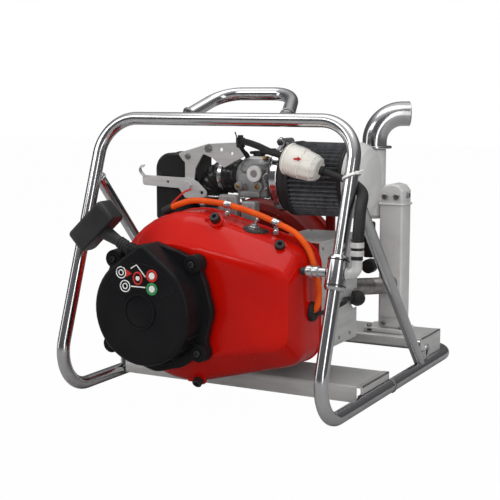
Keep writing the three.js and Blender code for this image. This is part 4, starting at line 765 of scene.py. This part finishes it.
def build_engine():
    """Barrel, head and manifold are profiles turned about their axes; the plug boot is a bent tube."""
    axis_at = (0, 255, CRANK_Z)
    fins = [p for k in range(7) for p in ((39, 27 + k * 10.6), (62, 27.6 + k * 10.6), (62, 30 + k * 10.6),
                                          (39, 31 + k * 10.6))]
    barrel = turned([(30.6, 18.5), (44, 18.5), (44, 23), (39, 24), *fins, (39, 102), (30.6, 102)], axis_at, X,
                    72, 0.5)
    port = turned([(12, 34), (18, 34), (18, 66), (12, 66)], (62.4, 255, CRANK_Z), Y, 40, 0.8)
    put("cylinder_casting", [barrel, port], "cast metal", replaces=["cylinder"])
    fins = [p for k in range(2) for p in ((34, 110 + k * 9), (53, 110.4 + k * 9), (53, 112.6 + k * 9),
                                          (34, 113.5 + k * 9))]
    head = [(7.2, 106), (30, 103), (44, 103), (44, 107), (34, 108), *fins, (26, 129), (7.2, 129)]
    nuts = [hex_head((107, 255 + 36 * c, CRANK_Z + 36 * d), X, 6, 6) for c, d in CORNERS]
    put("head_casting", turned(head, axis_at, X, 72, 0.5), "cast metal", replaces=["cylinder_head"])
    put("head_nuts", nuts, "machined steel")
    way = unit(np.array([0.864, 0.496, -0.084]))
    start = np.array([107.4, 255, CRANK_Z])
    knee = start + way * 112
    path = arc_corners([start + way * 56, knee + way * 4, knee + (-24, -49, 8)], 22, 14)
    size = np.interp(np.linspace(0, 1, len(path)), [0, 0.35, 0.5, 0.7, 1], [10.5, 11.5, 13, 11, 7])
    collar = turned([(6.6, -2), (13, -2), (13, 5), (6.6, 5)], start + way * 57, way, 40, 1)
    put("plug_cover", [tube(path, size, 32, round_end=3), collar], "rubber", replaces=["plug_boot"])
    tip = knee + (-20, -41, 6)
    lead = [tip, tip + (-11, -22, 3), (190, 200, 164), (186, 160, 160), (184, 132, 159), (178, 120.5, 159),
            (162, 120, 159)]
    put("ignition_lead", tube(spline(lead, 90), 3.5, 20), "rubber", replaces=["ht_lead"])
    lugs = [slab(26, 52, 158, 176, 286, 320, 3), slab(-12, 22, 152, 168, 292, 330, 4),
            slab(-40, -8, 160, 200, 270, 300, 4)]
    put("engine_brackets", lugs, "cast metal")
    put("bracket_bolts", [hex_head((39, 158, 308), -Y, 5, 4), hex_head((5, 152, 318), -Y, 5, 4)],
        "machined steel")
    put("duct_post", slab(103, 119, 316, 324, 200, 292, 2), "dark red")
    rivet = lambda at, way: turned([(0, 0), (3, 0), (2.4, 1.4), (0, 1.8)], at, way, 20, 0.3)
    rivets = [rivet((170, y, z), X) for y in (160, 225, 268) for z in (101, 253)]
    rivets += [rivet((x, y, 264), Z) for x in (92, 150) for y in (165, 285)]
    put("duct_rivets", rivets, "machined steel")
    seam = [tube([(170.4, 152, z), (170.4, 296, z)], 0.7, 8) for z in (94, 260)]
    put("duct_seams", seam, "sheet steel")


def build_intake():
    """Boot, carburettor and cone filter: bent tubes and turned profiles, the element's radius waved
    into pleats."""
    r = lambda n: np.array([25 + (1.4 if i % 6 < 3 else 0) for i in range(n)])
    boot = arc_corners([(-72, INTAKE_Y, 302.4), (-72, INTAKE_Y, INTAKE_Z), (-40.4, INTAKE_Y, INTAKE_Z)], 31, 30)
    band = [plain_ring(25.2, 27.4, 4, at, way, 48, 0.5)
            for at, way in (((-72, INTAKE_Y, 309), Z), ((-45, INTAKE_Y, INTAKE_Z), X))]
    cuff = turned([(24.2, -42), (28.5, -41), (29.5, -32), (28, -30), (29, -22), (27.5, -20), (27, -14),
                   (24.2, -13)], (0, INTAKE_Y, INTAKE_Z), X, 56, 1)
    put("intake_elbow", tube(boot, r(len(boot)), 40, wall=4), "gloss black", replaces=["intake_boot"])
    put("intake_cuff", cuff, "gloss black")
    put("elbow_bands", band, "brushed steel")
    body = [slab(-11, 45, 214, 264, 320, 362, 5), turned([(14, -40), (24, -40), (24, 66), (14, 66)],
                                                         (0, INTAKE_Y, INTAKE_Z), X, 56, 1),
            turned([(0, 362), (30, 362), (31.5, 364), (31.5, 368), (30, 370), (30, 377), (24, 384), (12, 387),
                    (0, 387.5)], (17, INTAKE_Y, 0), Z, 64, 1),
            turned([(0, 205), (7, 205), (8, 214), (0, 216)], (-4, 0, 340), Y, 32, 0.8),
            turned([(0, 207), (9, 207), (9, 216), (0, 216)], (30, 0, 340), Y, 32, 1),
            slab(-2, 34, 208, 216, 322, 332, 2), turned([(0, 203), (13, 203), (14.5, 214), (0, 216)],
                                                        (27, 0, 361), Y, 40, 1.5)]
    put("carburettor_body", body, "cast metal", replaces=["carburettor"])
    ring = turned([(6, 201), (13, 201), (13.6, 206), (6, 206)], (27, 0, 361), Y, 48, 0.8)
    lid = turned([(0, 377.5), (25, 377.5), (23, 384.5), (14, 388), (0, 388.4)], (17, INTAKE_Y, 0), Z, 64, 0.8)
    put("carburettor_lid", [ring, lid], "light casting")
    brass = [cap_screw((-4, 205, 340), -Y, 3.6, 3, 16), cap_screw((30, 207, 340), -Y, 4.2, 3, 16),
             hex_head((6, 214, 327), -Y, 4.4, 5),
             turned([(0, 384), (5, 384), (5, 389), (0, 390)], (36, 226, 0), Z, 24, 0.6)]
    put("jet_screws", brass, "brass")
    screws = [hex_head((17 + 24 * c, INTAKE_Y + 24 * d, 371), Z, 3.4, 4) for c, d in CORNERS]
    put("cap_screws_carburettor", screws, "machined steel")
    clip = spline([(44, 206, 336), (54, 204, 342), (57, 204, 354), (50, 204, 362), (43, 204, 355),
                   (50, 204, 344), (60, 204, 334), (56, 204, 322), (46, 204, 322)], 60)
    put("spring_clip", tube(clip, 1.3, 12, round_end=1), "brushed steel")
    put("choke_handle", [slab(1, 47, 235, 245, 391, 396, 2),
                         turned([(0, 388.6), (10, 388.6), (10, 396.5), (0, 396.5)], (17, INTAKE_Y, 0), Z, 40,
                                1),
                         turned([(0, 390), (5.5, 390), (5.5, 401), (0, 402)], (43, INTAKE_Y, 0), Z, 32, 1.5)],
        "satin black", "choke_lever", ["choke_lever"])
    at = (20, INTAKE_Y, INTAKE_Z)
    collar = [(25.4, 35), (45, 34.5), (50, 40), (53, 43), (53, 55), (56, 60), (60, 66), (60, 71), (30, 71),
              (30, 64), (25.4, 60)]
    put("filter_boot", turned(collar, at, X, 72, 2), "rubber", replaces=["filter_collar"])
    band = [turned([(53.1, 42.6), (55.2, 42.6), (54.4, 44.5), (54.4, 53.5), (55.2, 55.4), (53.1, 55.4)], at, X,
                   96, 0.3)]
    worm = [tube([(69, INTAKE_Y - 24, 413), (69, INTAKE_Y + 14, 413)], 6, 24, round_end=1),
            slab(61, 77, INTAKE_Y - 14, INTAKE_Y + 10, 407, 412, 1.5),
            hex_head((69, INTAKE_Y - 22, 413), -Y, 6.5, 6)]
    grooves = [slab(64, 74, INTAKE_Y + y, INTAKE_Y + y + 1.4, 408.2, 409.4, 0.3) for y in range(12, 34, 4)]
    put("filter_band", band + worm + grooves, "band steel", replaces=["filter_clamp"])
    a = np.radians(np.linspace(196, 226, 20))
    mark = np.column_stack([np.full(20, 69.0), INTAKE_Y + 55 * np.cos(a), INTAKE_Z + 55 * np.sin(a)])
    put("filter_mark", tube(mark, 3, 8, round_end=0.5, flat=0.16), "red mark")
    n = 16
    pleats = [(54.8 - 0.05 * k, 73 + k * (95 / n)) for k in range(n + 1)]
    element = turned([(30, 72.4), *pleats, (30, 168)], at, X, 540, 0, (), tuple(range(1, n + 2)), 48, 0.09)
    put("filter_pleats", element, "pleated cloth", replaces=["filter_element"])
    rims = [turned([(54, 71.2), (60.4, 71.2), (60.8, 76), (59, 78), (54, 78)], at, X, 96, 0.8),
            turned([(54, 162), (59, 162), (60.4, 164), (60.4, 168.4), (54, 168.4)], at, X, 96, 0.8)]
    put("filter_rims", rims, "rubber")
    cap = [(0, 168.6), (58.5, 168.6), (60, 170), (60, 178), (57, 186), (50, 194), (38, 199), (20, 201.5),
           (0, 202)]
    put("filter_cap", turned(cap, at, X, 96, 3), "light casting", replaces=["filter_end_cap"])


def build_fuel():
    """Sleeve, connector, elbow and inline filter are turned; the hoses are circles carried along curves."""
    c = np.array([HALF_WIDTH, post_y(230), 230])
    put("sleeve_tube", turned([(11, -26), (13.6, -26), (16, -22), (16, 22), (13.6, 26), (11, 26)], c, POST_UP,
                              48, 0.6), "tube steel", replaces=["post_sleeve"])
    put("sleeve_rings", [torus(c + POST_UP * k, POST_UP, 15.2, 1.3, 14) for k in (-19, 19)], "rubber")
    left = [(0, -54), (4, -54), (4.5, -48), (8.6, -48), (9, -46), (9, -40), (7.8, -39), (7.8, -37), (9, -36),
            (9, -29), (6.8, -27.5), (6.8, -16.4), (0, -16.4)]
    put("quick_connector", turned(left, c, X, 48, 0.5), "brushed steel", replaces=["fuel_connector"])
    put("connector_tip", turned([(0, -58), (4.8, -58), (5.6, -55), (5.6, -49), (0, -49)], c, X, 32, 0.6),
        "satin black")
    x = c[0] + 31.4
    elbow = tube(arc_corners([c + (16.4, 0, 0), (x, c[1], 230), (x, c[1], 256)], 13, 14), 8, 32)
    flange = hex_head(c + (16.4, 0, 0), X, 9, 7)
    put("hose_bend", [elbow, flange], "sheet steel", replaces=["hose_elbow"])
    feed = spline([(x, c[1], 252), (x, c[1] + 1, 275), (x - 1, c[1] + 8, 298), (x - 5, c[1] + 22, 322),
                   (247, 130, 342),
                   (231, 140, 354), (214, 144, 362), (196, 148, 367), (180, 150, 371.5), (172, 150, 374)], 140)
    thick = np.interp(np.linspace(0, 1, 140), [0, 0.55, 0.7, 1],
                      [8.8, 8.8, 5.2, 5.2]) * (1 + 0.02 * np.sin(np.arange(140) * 2.2))
    put("feed_line", tube(feed, thick, 28), "rubber", replaces=["feed_hose"])
    put("hose_bands", [plain_ring(8.7, 10.2, 4, (x, c[1], z), Z, 48, 0.5) for z in (262, 274)], "sheet steel")
    at = np.array([HALF_WIDTH, post_y(369), 369])
    tilt = unit(POST_UP + [-0.42, -0.2, 0])
    side = unit(np.cross(tilt, Y))
    a = np.linspace(0, TAU, 65)[:-1, None]
    loop = at + 12.6 * (side * np.cos(a) * 1.08 + np.cross(tilt, side) * np.sin(a) * 1.15)
    tail = at + np.array([13, -8, 6])
    put("hose_tie", [tube(loop, 2.2, 10, flat=0.35, loop=True),
                     slab(tail[0] - 3, tail[0] + 3, tail[1] - 3, tail[1] + 3, tail[2] - 2.5, tail[2] + 2.5,
                          0.8),
                     tube([tail, tail + (9, -2, 4)], 1.4, 8, round_end=0.6)], "white plastic",
        replaces=["cable_tie"])
    middle, way = np.array([138.5, 150, 384]), np.array([math.cos(FILTER_TILT), 0, -math.sin(FILTER_TILT)])
    shell = [(0, -38.5), (4, -38.5), (4.5, -31.5), (17, -30.5), (23, -27.5), (25, -23.5), (25, -0.5), (23, 3.5),
             (21, 19.5), (17, 29.5), (4.5, 30.5), (4, 38.5), (0, 38.5)]
    put("filter_bowl", turned(shell, middle, way, 180, 0, (), (7, 8, 9), 9, 0.05), "clear shell",
        replaces=["fuel_filter"])
    put("bowl_rings", [torus(middle + way * k, way, q, 1) for k, q in ((-23, 24.6), (2.5, 23.2), (21, 20))],
        "cream shell")
    steps = np.arange(-23, 20, 0.8)
    folds = turned([(4, -24), *[(22.4 - max(k, 0) * 0.2 - (i % 2) * 1.6, k) for i, k in enumerate(steps)],
                    (4, 21)], middle, way, 64, 0)
    put("bowl_paper", folds, "filter paper")
    arrow = np.array([(-6, -1.4), (1, -1.4), (1, -3.4), (6, 0), (1, 3.4), (1, 1.4),
                      (-6, 1.4)]) + [middle[0] + 3, middle[2] + 8]
    put("flow_arrow", plate_xz(arrow, 125.4, 128, bevel=0.1), "red mark")
    ears = [plain_ring(5.4, 7.4, 3, middle + way * 35.5, way, 32, 0.5),
            plain_ring(4.6, 6.6, 3, middle - way * 36, way, 32, 0.5)]
    put("filter_clip", ears, "rubber")
    hose = spline([middle - way * 35, middle - way * 46, (78, 156, 401), (50, 176, 407), (26, 192, 411),
                   (6, 206, 413), (0, 210, 413)], 90)
    banjo = [plain_ring(0, 7.5, 8, (-3, 212, 411), Z, 32, 1),
             turned([(0, 0), (4.5, 0), (4.5, 5), (0, 5)], (-3, 212, 418), Z, 24, 0.5),
             tube(spline([(-3, 213, 406), (-2, 216, 398), (2, 224, 390), (3, 228, 383)], 24), 4.2, 20),
             tube([(-8, 210, 418), (-11, 208, 428)], 1, 8, round_end=0.5)]
    put("hose_banjo", banjo, "gloss black")
    put("carburettor_line", tube(hose, 5.4, 20), "rubber", replaces=["carb_hose"])


def build_exhaust():
    """Casting from rounded blocks and turned bosses; the pipes come back inside their own walls."""
    way = np.array([math.cos(math.radians(32)), math.sin(math.radians(32)), 0])
    foot = np.array([116, 500, 392.4])
    knee = foot + (0, 0, 62)
    path = arc_corners([foot, knee, knee + way * 62], 50, 24)
    disc = turned([(21, 0), (31, 0), (31, 4.4), (21, 4.4)], foot, Z, 64, 1)
    lip = torus(knee + way * 61.6, way, 21.4, 1.1)
    put("tail_tube", [tube(path, 22, 48, wall=1.6), disc, lip], "tube steel", replaces=["tail_pipe"])
    y = 347.4 - 26.4
    run = [(62.4, y, CRANK_Z), (62.4, y + 24, CRANK_Z), (132, y + 29, CRANK_Z), (138, 430, CRANK_Z - 10),
           (158, 450, CRANK_Z - 10), (158, 477.6, CRANK_Z - 10)]
    put("exhaust_tube", tube(arc_corners(run, 22, 8), 15, 36, wall=1.5), "weld", replaces=["exhaust_pipe"])
    front = [(136, 69), (180, 69), (180, 318), (172, 328), (158, 331), (144, 328), (136, 318)]
    shells = [plate_xz(arc_corners(front, 7, 6, True), 478, 522, bevel=4),
              slab(110, 188, 470, 530, 60.4, 69, 2.5, 6),
              turned([(0, 262), (16, 266), (21, 272), (21, 391), (17.6, 391.8), (17.6, 300), (0, 300)],
                     (116, 500, 0), Z, 56, 1.5),
              tube([(116, 500, 298), (150, 500, 298)], 15, 32),
              plate_xz([(140, 90), (176, 90), (176, 120), (140, 120)], 474, 480, bevel=1.5),
              slab(133, 183, 476, 524, 292, 296, 1.6, 5)]
    put("silencer_casting", shells, "light casting", replaces=["silencer"])
    bolts = [cap_screw((147, 478, 308), -Y, 5.5, 5), cap_screw((169, 478, 308), -Y, 5.5, 5),
             cap_screw((180, 500, 310), X, 5, 5),
             cap_screw((120, 477, 66), Z, 4.5, 8), cap_screw((182, 477, 66), Z, 4.5, 8),
             cap_screw((148, 478, 78), -Y, 4.5, 5)]
    put("silencer_bolts", bolts, "machined steel")
    # Painted shade: this dark plate stands for the shaded opening of the flange's slot, not for a part.
    put("silencer_slot_painted_shade", slab(120, 128, 466, 471, 63, 67, 1), "dark plate")
    dark = [slab(108, 128, 470, 484, 196, 262, 4), turned([(0, 0), (13, 0), (13, 20), (0, 20)], (118, 470, 180),
                                                          Y, 40, 2)]
    put("heat_guard", dark, "gloss black")


def build_pump():
    """Casing and cover are turned profiles; the outlet is a turned socket at the casing's foot."""
    at = (CRANK_X, 0, CRANK_Z)
    bell = [(58, 312.6), (63, 312.6), (66, 340), (74, 358), (124, 362), (136, 368), (139, 376), (139, 440),
            (134, 440), (134, 378), (120, 370), (58, 370)]
    rim = turned([(132, 428), (144, 428), (144, 440), (132, 440)], at, Y, 120, 1.5)
    out = turned([(19, -212), (24, -212), (26, -209), (26, -204), (23, -200), (23, -150), (19, -150)],
                 (0, 404.5, 60.5), X, 48, 1)
    ribs = []
    for k in range(16):
        a = k * TAU / 16
        d = np.array([math.cos(a), 0, math.sin(a)])
        ribs.append(tube([np.array(at) + d * 70 + [0, 356, 0], np.array(at) + d * 124 + [0, 364, 0]], 3.2, 12,
                         round_end=2))
    put("pump_bowl", [turned(bell, at, Y, 120, 2), rim, out, *ribs], "dark red", replaces=["pump_casing"])
    lid = [(27, 440.4), (143, 440.4), (143, 448), (120, 451), (54, 452), (40, 460), (32, 470), (32, 492),
           (39, 492), (39, 506), (27, 506)]
    threads = [torus((CRANK_X, y, CRANK_Z), Y, 38.6, 1.2) for y in (495, 498.4, 501.8)]
    put("pump_lid", [turned(lid, at, Y, 120, 2), *threads], "dark red", replaces=["pump_cover"])
    nuts = []
    for k in range(12):
        a = (k + 0.5) * TAU / 12
        nuts.append(hex_head((CRANK_X + 137 * math.cos(a), 448, CRANK_Z + 137 * math.sin(a)), Y, 4.6, 4.5))
    put("lid_bolts", nuts, "machined steel")


def build_controls():
    """Control housing and linkage: rounded outlines given a thickness, and turned pins."""
    px, pz = -98, 338.5
    box = arc_corners([(-167, 277), (-100, 277), (-100, 391), (-167, 391)], [6, 4, 4, 28], 10, True)
    leg = slab(-114, -102, 262, 284, 239, 284, 2)
    knob = [turned([(0, 286), (13, 286), (13, 300), (10, 303), (0, 303)], (-150, 0, 330), Y, 48, 1)]
    put("control_housing", [plate_xz(box, 209.6, 288, bevel=4), leg, *knob], "gloss black",
        replaces=["control_box"])
    put("housing_seam", tube(arc_corners([(-167.4, 250, 286), (-167.4, 250, 391.4), (-104, 250, 391.4)], 28,
                                         12), 0.8, 8), "satin black")
    sheet = [(-106, 328), (-90, 328), (-86, 366), (-71, 391), (-54, 385), (-31, 369), (7, 389), (-10, 411),
             (-61, 408), (-120, 391), (-112, 381), (-106, 376)]
    put("control_sheet", plate_xz(arc_corners(sheet, 3, 5, True), 206, 209,
                                  [circle(px, pz, 3.4, 24), circle(-36, 399, 3, 20), circle(-16, 393, 2.4, 20)],
                                  0.6), "sheet steel", replaces=["control_bracket"])
    put("control_bolts", [hex_head((-60, 206, 400), -Y, 6, 4.5), hex_head((-100, 206, 386), -Y, 4.6, 3.6)],
        "machined steel")
    arm = [(-92, 10), (-86, 14), (-14, 12), (0, 13), (18, 6), (35, -9), (35, -18), (28, -20), (6, -22),
           (-6, -22), (-18, -6), (-90, -3)]
    outline = arc_corners([(px + x, pz + z) for x, z in arm], 5, 6, True)
    holes = [circle(px + 26, pz - 12, 3, 24), circle(px - 40, pz + 4, 2.2, 20)]
    pin = [turned([(0, -8.5), (3.2, -8.5), (3.2, 3), (0, 3)], (px, 205.6, pz), Y, 32, 0.5),
           hex_head((px, 202.6, pz), -Y, 8.6, 6)]
    curl = spline([(px - 88, 204, pz + 12), (px - 94, 202, pz + 20), (px - 92, 198, pz + 28),
                   (px - 84, 197, pz + 30)], 24)
    put("throttle_plate", [plate_xz(outline, 202.6, 205.6, holes, 0.5), *pin], "sheet steel", "throttle_lever",
        ["throttle_lever"])
    put("throttle_tab", tube(curl, 4.5, 16, round_end=1, flat=0.25), "sheet steel", "throttle_lever")
    rod = [(px - 5, 207.6, pz - 18), (8, 207.6, pz - 18)]
    put("throttle_rod", tube(rod, 1.6, 20, round_end=1), "brushed steel", "link", ["link_rod"])
    crank = arc_corners([(0, pz - 24), (6, pz - 24), (9, pz + 3), (6, pz + 7), (0, pz + 7), (-3, pz + 3)], 3, 6,
                        True)
    put("shaft_arm", [plate_xz(crank, 209.8, 211.8, [], 0.4),
                      turned([(0, 208.5), (3, 208.5), (3, 219), (0, 219)], (3, 0, pz), Y, 32, 0.4)],
        "machined steel", "throttle_arm", ["throttle_arm"])


def build_stage(s):
    """Camera at the unit's front right, pale floor and sky, and soft lamps."""
    scene = bpy.context.scene
    place = lambda x, y, z: SHIFT + np.array([x, y, z]) / 1000
    a, e = math.radians(s.camera_turn), math.radians(s.camera_height)
    camera = bpy.data.objects.new("camera", bpy.data.cameras.new("camera"))
    camera.location = place(892.4, -1427.84, 488.17)
    gaze = Vector((-math.sin(a) * math.cos(e), math.cos(a) * math.cos(e), -math.sin(e)))
    camera.rotation_euler = gaze.to_track_quat("-Z", "Y").to_euler()
    camera.data.lens, camera.data.sensor_width = 81.97, 36
    scene.collection.objects.link(camera)
    scene.camera = camera
    floor = bpy.data.meshes.new("studio_floor")
    floor.from_pydata([(-9, -9, 0), (9, -9, 0), (9, 9, 0), (-9, 9, 0)], [], [(0, 1, 2, 3)])
    ground = bpy.data.objects.new("studio_floor", floor)
    scene.collection.objects.link(ground)
    ground.location.z = -0.0003
    pale = bpy.data.materials.new("pale floor")
    pale.use_nodes = True
    tree = pale.node_tree
    shader, glow = tree.nodes["Principled BSDF"], tree.nodes.new("ShaderNodeEmission")
    shader.inputs["Base Color"].default_value = (0.34, 0.34, 0.34, 1)
    shader.inputs["Roughness"].default_value = 0.9
    path, share, mix = (tree.nodes.new(n) for n in ("ShaderNodeLightPath", "ShaderNodeMath",
                                                    "ShaderNodeMixShader"))
    share.operation = "MULTIPLY"
    share.inputs[1].default_value = 0.985
    tree.links.new(path.outputs["Is Camera Ray"], share.inputs[0])
    tree.links.new(share.outputs[0], mix.inputs[0])
    tree.links.new(shader.outputs[0], mix.inputs[1])
    tree.links.new(glow.outputs[0], mix.inputs[2])
    tree.links.new(mix.outputs[0], tree.nodes["Material Output"].inputs["Surface"])
    floor.materials.append(pale)
    lamps = (("key", (-1300, -1500, 1700), (1.3, 0.6), 9, True),
             ("front", (500, -2300, 900), (2.0, 2.0), 24, False),
             ("right", (2000, -200, 900), (1.6, 1.6), 14, False),
             ("left", (-2000, -300, 900), (1.6, 1.6), 8, False),
             ("strip", (1700, -1500, 700), (0.55, 1.9), 8, True),
             ("far strip", (-2100, -900, 700), (0.5, 1.8), 5, True),
             ("top", (0, 60, 1900), (1.9, 0.9), 8, True), ("back", (-500, 2100, 1300), (1.5, 1.2), 10, False))
    aim = place(0, 300, 200)
    for name, spot, size, power, mirrored in lamps:
        lamp = bpy.data.lights.new(name, "AREA")
        lamp.shape, lamp.size, lamp.size_y = "RECTANGLE", *size
        lamp.energy = power * s.brightness
        holder = bpy.data.objects.new(name, lamp)
        holder.location = place(*spot)
        holder.visible_glossy = mirrored
        holder.rotation_euler = Vector(aim - place(*spot)).to_track_quat("-Z", "Y").to_euler()
        scene.collection.objects.link(holder)
    world = bpy.data.worlds.new("studio")
    scene.world = world
    world.use_nodes = True
    tree = world.node_tree
    sky = tree.nodes["Background"]
    where = tree.nodes.new("ShaderNodeTexCoord")
    split = tree.nodes.new("ShaderNodeSeparateXYZ")
    ramp = tree.nodes.new("ShaderNodeValToRGB")
    tree.links.new(where.outputs["Generated"], split.inputs["Vector"])
    tree.links.new(split.outputs["Z"], ramp.inputs["Fac"])
    ramp.color_ramp.elements[0].color = (0.07, 0.07, 0.073, 1)
    ramp.color_ramp.elements[1].position = 0.86
    ramp.color_ramp.elements[1].color = (0.75, 0.75, 0.75, 1)
    band = ramp.color_ramp.elements.new(0.5)
    band.color = (0.13, 0.13, 0.135, 1)
    white = tree.nodes.new("ShaderNodeBackground")
    white.inputs["Color"].default_value = (1, 1, 1, 1)
    path = tree.nodes.new("ShaderNodeLightPath")
    mix = tree.nodes.new("ShaderNodeMixShader")
    tree.links.new(ramp.outputs["Color"], sky.inputs["Color"])
    tree.links.new(path.outputs["Is Camera Ray"], mix.inputs[0])
    tree.links.new(sky.outputs[0], mix.inputs[1])
    tree.links.new(white.outputs[0], mix.inputs[2])
    tree.links.new(mix.outputs[0], tree.nodes["World Output"].inputs["Surface"])
    scene.view_settings.view_transform = "Standard"


# ---- settings, operators and panel ----


class FrameSizes(bpy.types.PropertyGroup):
    """Sizes of the tube frame and the sleeved lead, and how crisp the cowl's creases are."""

    tube_radius: bpy.props.FloatProperty(
        name="Tube radius", description="Outer radius of the frame's tube", default=0.01065, unit="LENGTH")
    bend_radius: bpy.props.FloatProperty(
        name="Bend radius", description="Centreline radius of the frame's bends", default=0.062, unit="LENGTH")
    lead_radius: bpy.props.FloatProperty(
        name="Lead radius", description="Outer radius of the sleeved lead", default=0.0048, unit="LENGTH")
    crease_radius: bpy.props.FloatProperty(
        name="Crease radius", description="Rounding of the cowl's front creases", default=0.018, unit="LENGTH")


class PaintColours(bpy.types.PropertyGroup):
    """Colours of the parts that the maker may want in another paint."""

    cowl: bpy.props.FloatVectorProperty(
        name="Cowl", description="Paint of the fan cowl", default=(0.56, 0.006, 0.001), subtype="COLOR")
    pump: bpy.props.FloatVectorProperty(
        name="Pump", description="Paint of the pump", default=(0.2, 0.008, 0.005), subtype="COLOR")
    sleeve: bpy.props.FloatVectorProperty(
        name="Sleeved lead", description="Colour of the lead's sleeve", default=(0.86, 0.12, 0.012),
                                          subtype="COLOR")


class StudioView(bpy.types.PropertyGroup):
    """Camera angle and lamp strength."""

    camera_turn: bpy.props.FloatProperty(
        name="Camera turn", description="Degrees round to the unit's right", default=28.159)
    camera_height: bpy.props.FloatProperty(
        name="Camera height", description="Degrees above the horizon", default=7.761)
    brightness: bpy.props.FloatProperty(
        name="Brightness", description="Factor on every lamp", default=1.0, min=0, subtype="FACTOR")


class UnitSettings(bpy.types.PropertyGroup):
    """Everything that a user of the power unit may change."""

    sizes: bpy.props.PointerProperty(type=FrameSizes)
    paint: bpy.props.PointerProperty(type=PaintColours)
    studio: bpy.props.PointerProperty(type=StudioView)


class MakeFinishes(bpy.types.Operator):
    """Makes the finishes and gives each node of the frame its own"""

    bl_idname = "power_unit.finishes"
    bl_label = "Finishes"

    def execute(self, context):
        paint = context.scene.power_unit.paint
        make_finishes({"gloss red": paint.cowl, "dark red": paint.pump, "orange sleeve": paint.sleeve})
        finish_nodes()
        return {"FINISHED"}


def maker(key, label, about, build, group=None):
    """An operator class that runs one builder, with its group of the settings if it takes one."""
    def execute(self, context):
        build(*([getattr(context.scene.power_unit, group)] if group else ()))
        return {"FINISHED"}
    return type("Make" + key.title(), (bpy.types.Operator,),
                {"__doc__": about, "bl_idname": "power_unit." + key, "bl_label": label, "execute": execute})


MAKERS = (
    MakeFinishes,
    maker("stage", "Stage", "Makes the camera, floor and lamps", build_stage, "studio"),
    maker("frame", "Tube frame", "Makes the bent tubes, plates and welds of the carrying frame", build_frame,
          "sizes"),
    maker("cowl", "Fan cowl", "Makes the fan cowl with its screws, grommet and engine switch", build_cowl,
          "sizes"),
    maker("leads", "Leads", "Makes the sleeved lead with its clips and the thin wire", build_leads, "sizes"),
    maker("starter", "Recoil starter", "Makes the recoil starter with its rope and handle", build_starter),
    maker("engine", "Engine", "Makes the cylinder, head, plug lead and brackets", build_engine),
    maker("intake", "Intake and filter", "Makes the intake elbow, carburettor and cone filter", build_intake),
    maker("fuel", "Fuel line", "Makes the fuel connector, hoses and inline filter", build_fuel),
    maker("exhaust", "Exhaust", "Makes the silencer casting and the exhaust tubes", build_exhaust),
    maker("pump", "Pump", "Makes the pump's bowl and lid", build_pump),
    maker("controls", "Throttle controls", "Makes the control housing and the throttle linkage",
          build_controls),
)


class UnitPanel(bpy.types.Panel):
    """Lists the makers and the settings in the sidebar"""

    bl_idname = "VIEW3D_PT_power_unit"
    bl_label = "Power unit"
    bl_space_type = "VIEW_3D"
    bl_region_type = "UI"
    bl_category = "Power unit"

    def draw(self, context):
        settings = context.scene.power_unit
        for group in (settings.sizes, settings.paint, settings.studio):
            for label in group.__annotations__:
                self.layout.prop(group, label)
        for maker in MAKERS:
            self.layout.operator(maker.bl_idname)


CLASSES = (FrameSizes, PaintColours, StudioView, UnitSettings, *MAKERS, UnitPanel)


def register():
    for item in CLASSES:
        bpy.utils.register_class(item)
    bpy.types.Scene.power_unit = bpy.props.PointerProperty(type=UnitSettings)


def unregister():
    del bpy.types.Scene.power_unit
    for item in reversed(CLASSES):
        bpy.utils.unregister_class(item)


def main():
    register()
    for maker in MAKERS:
        group, name = maker.bl_idname.split(".")
        getattr(getattr(bpy.ops, group), name)()


if __name__ == "__main__":
    main()
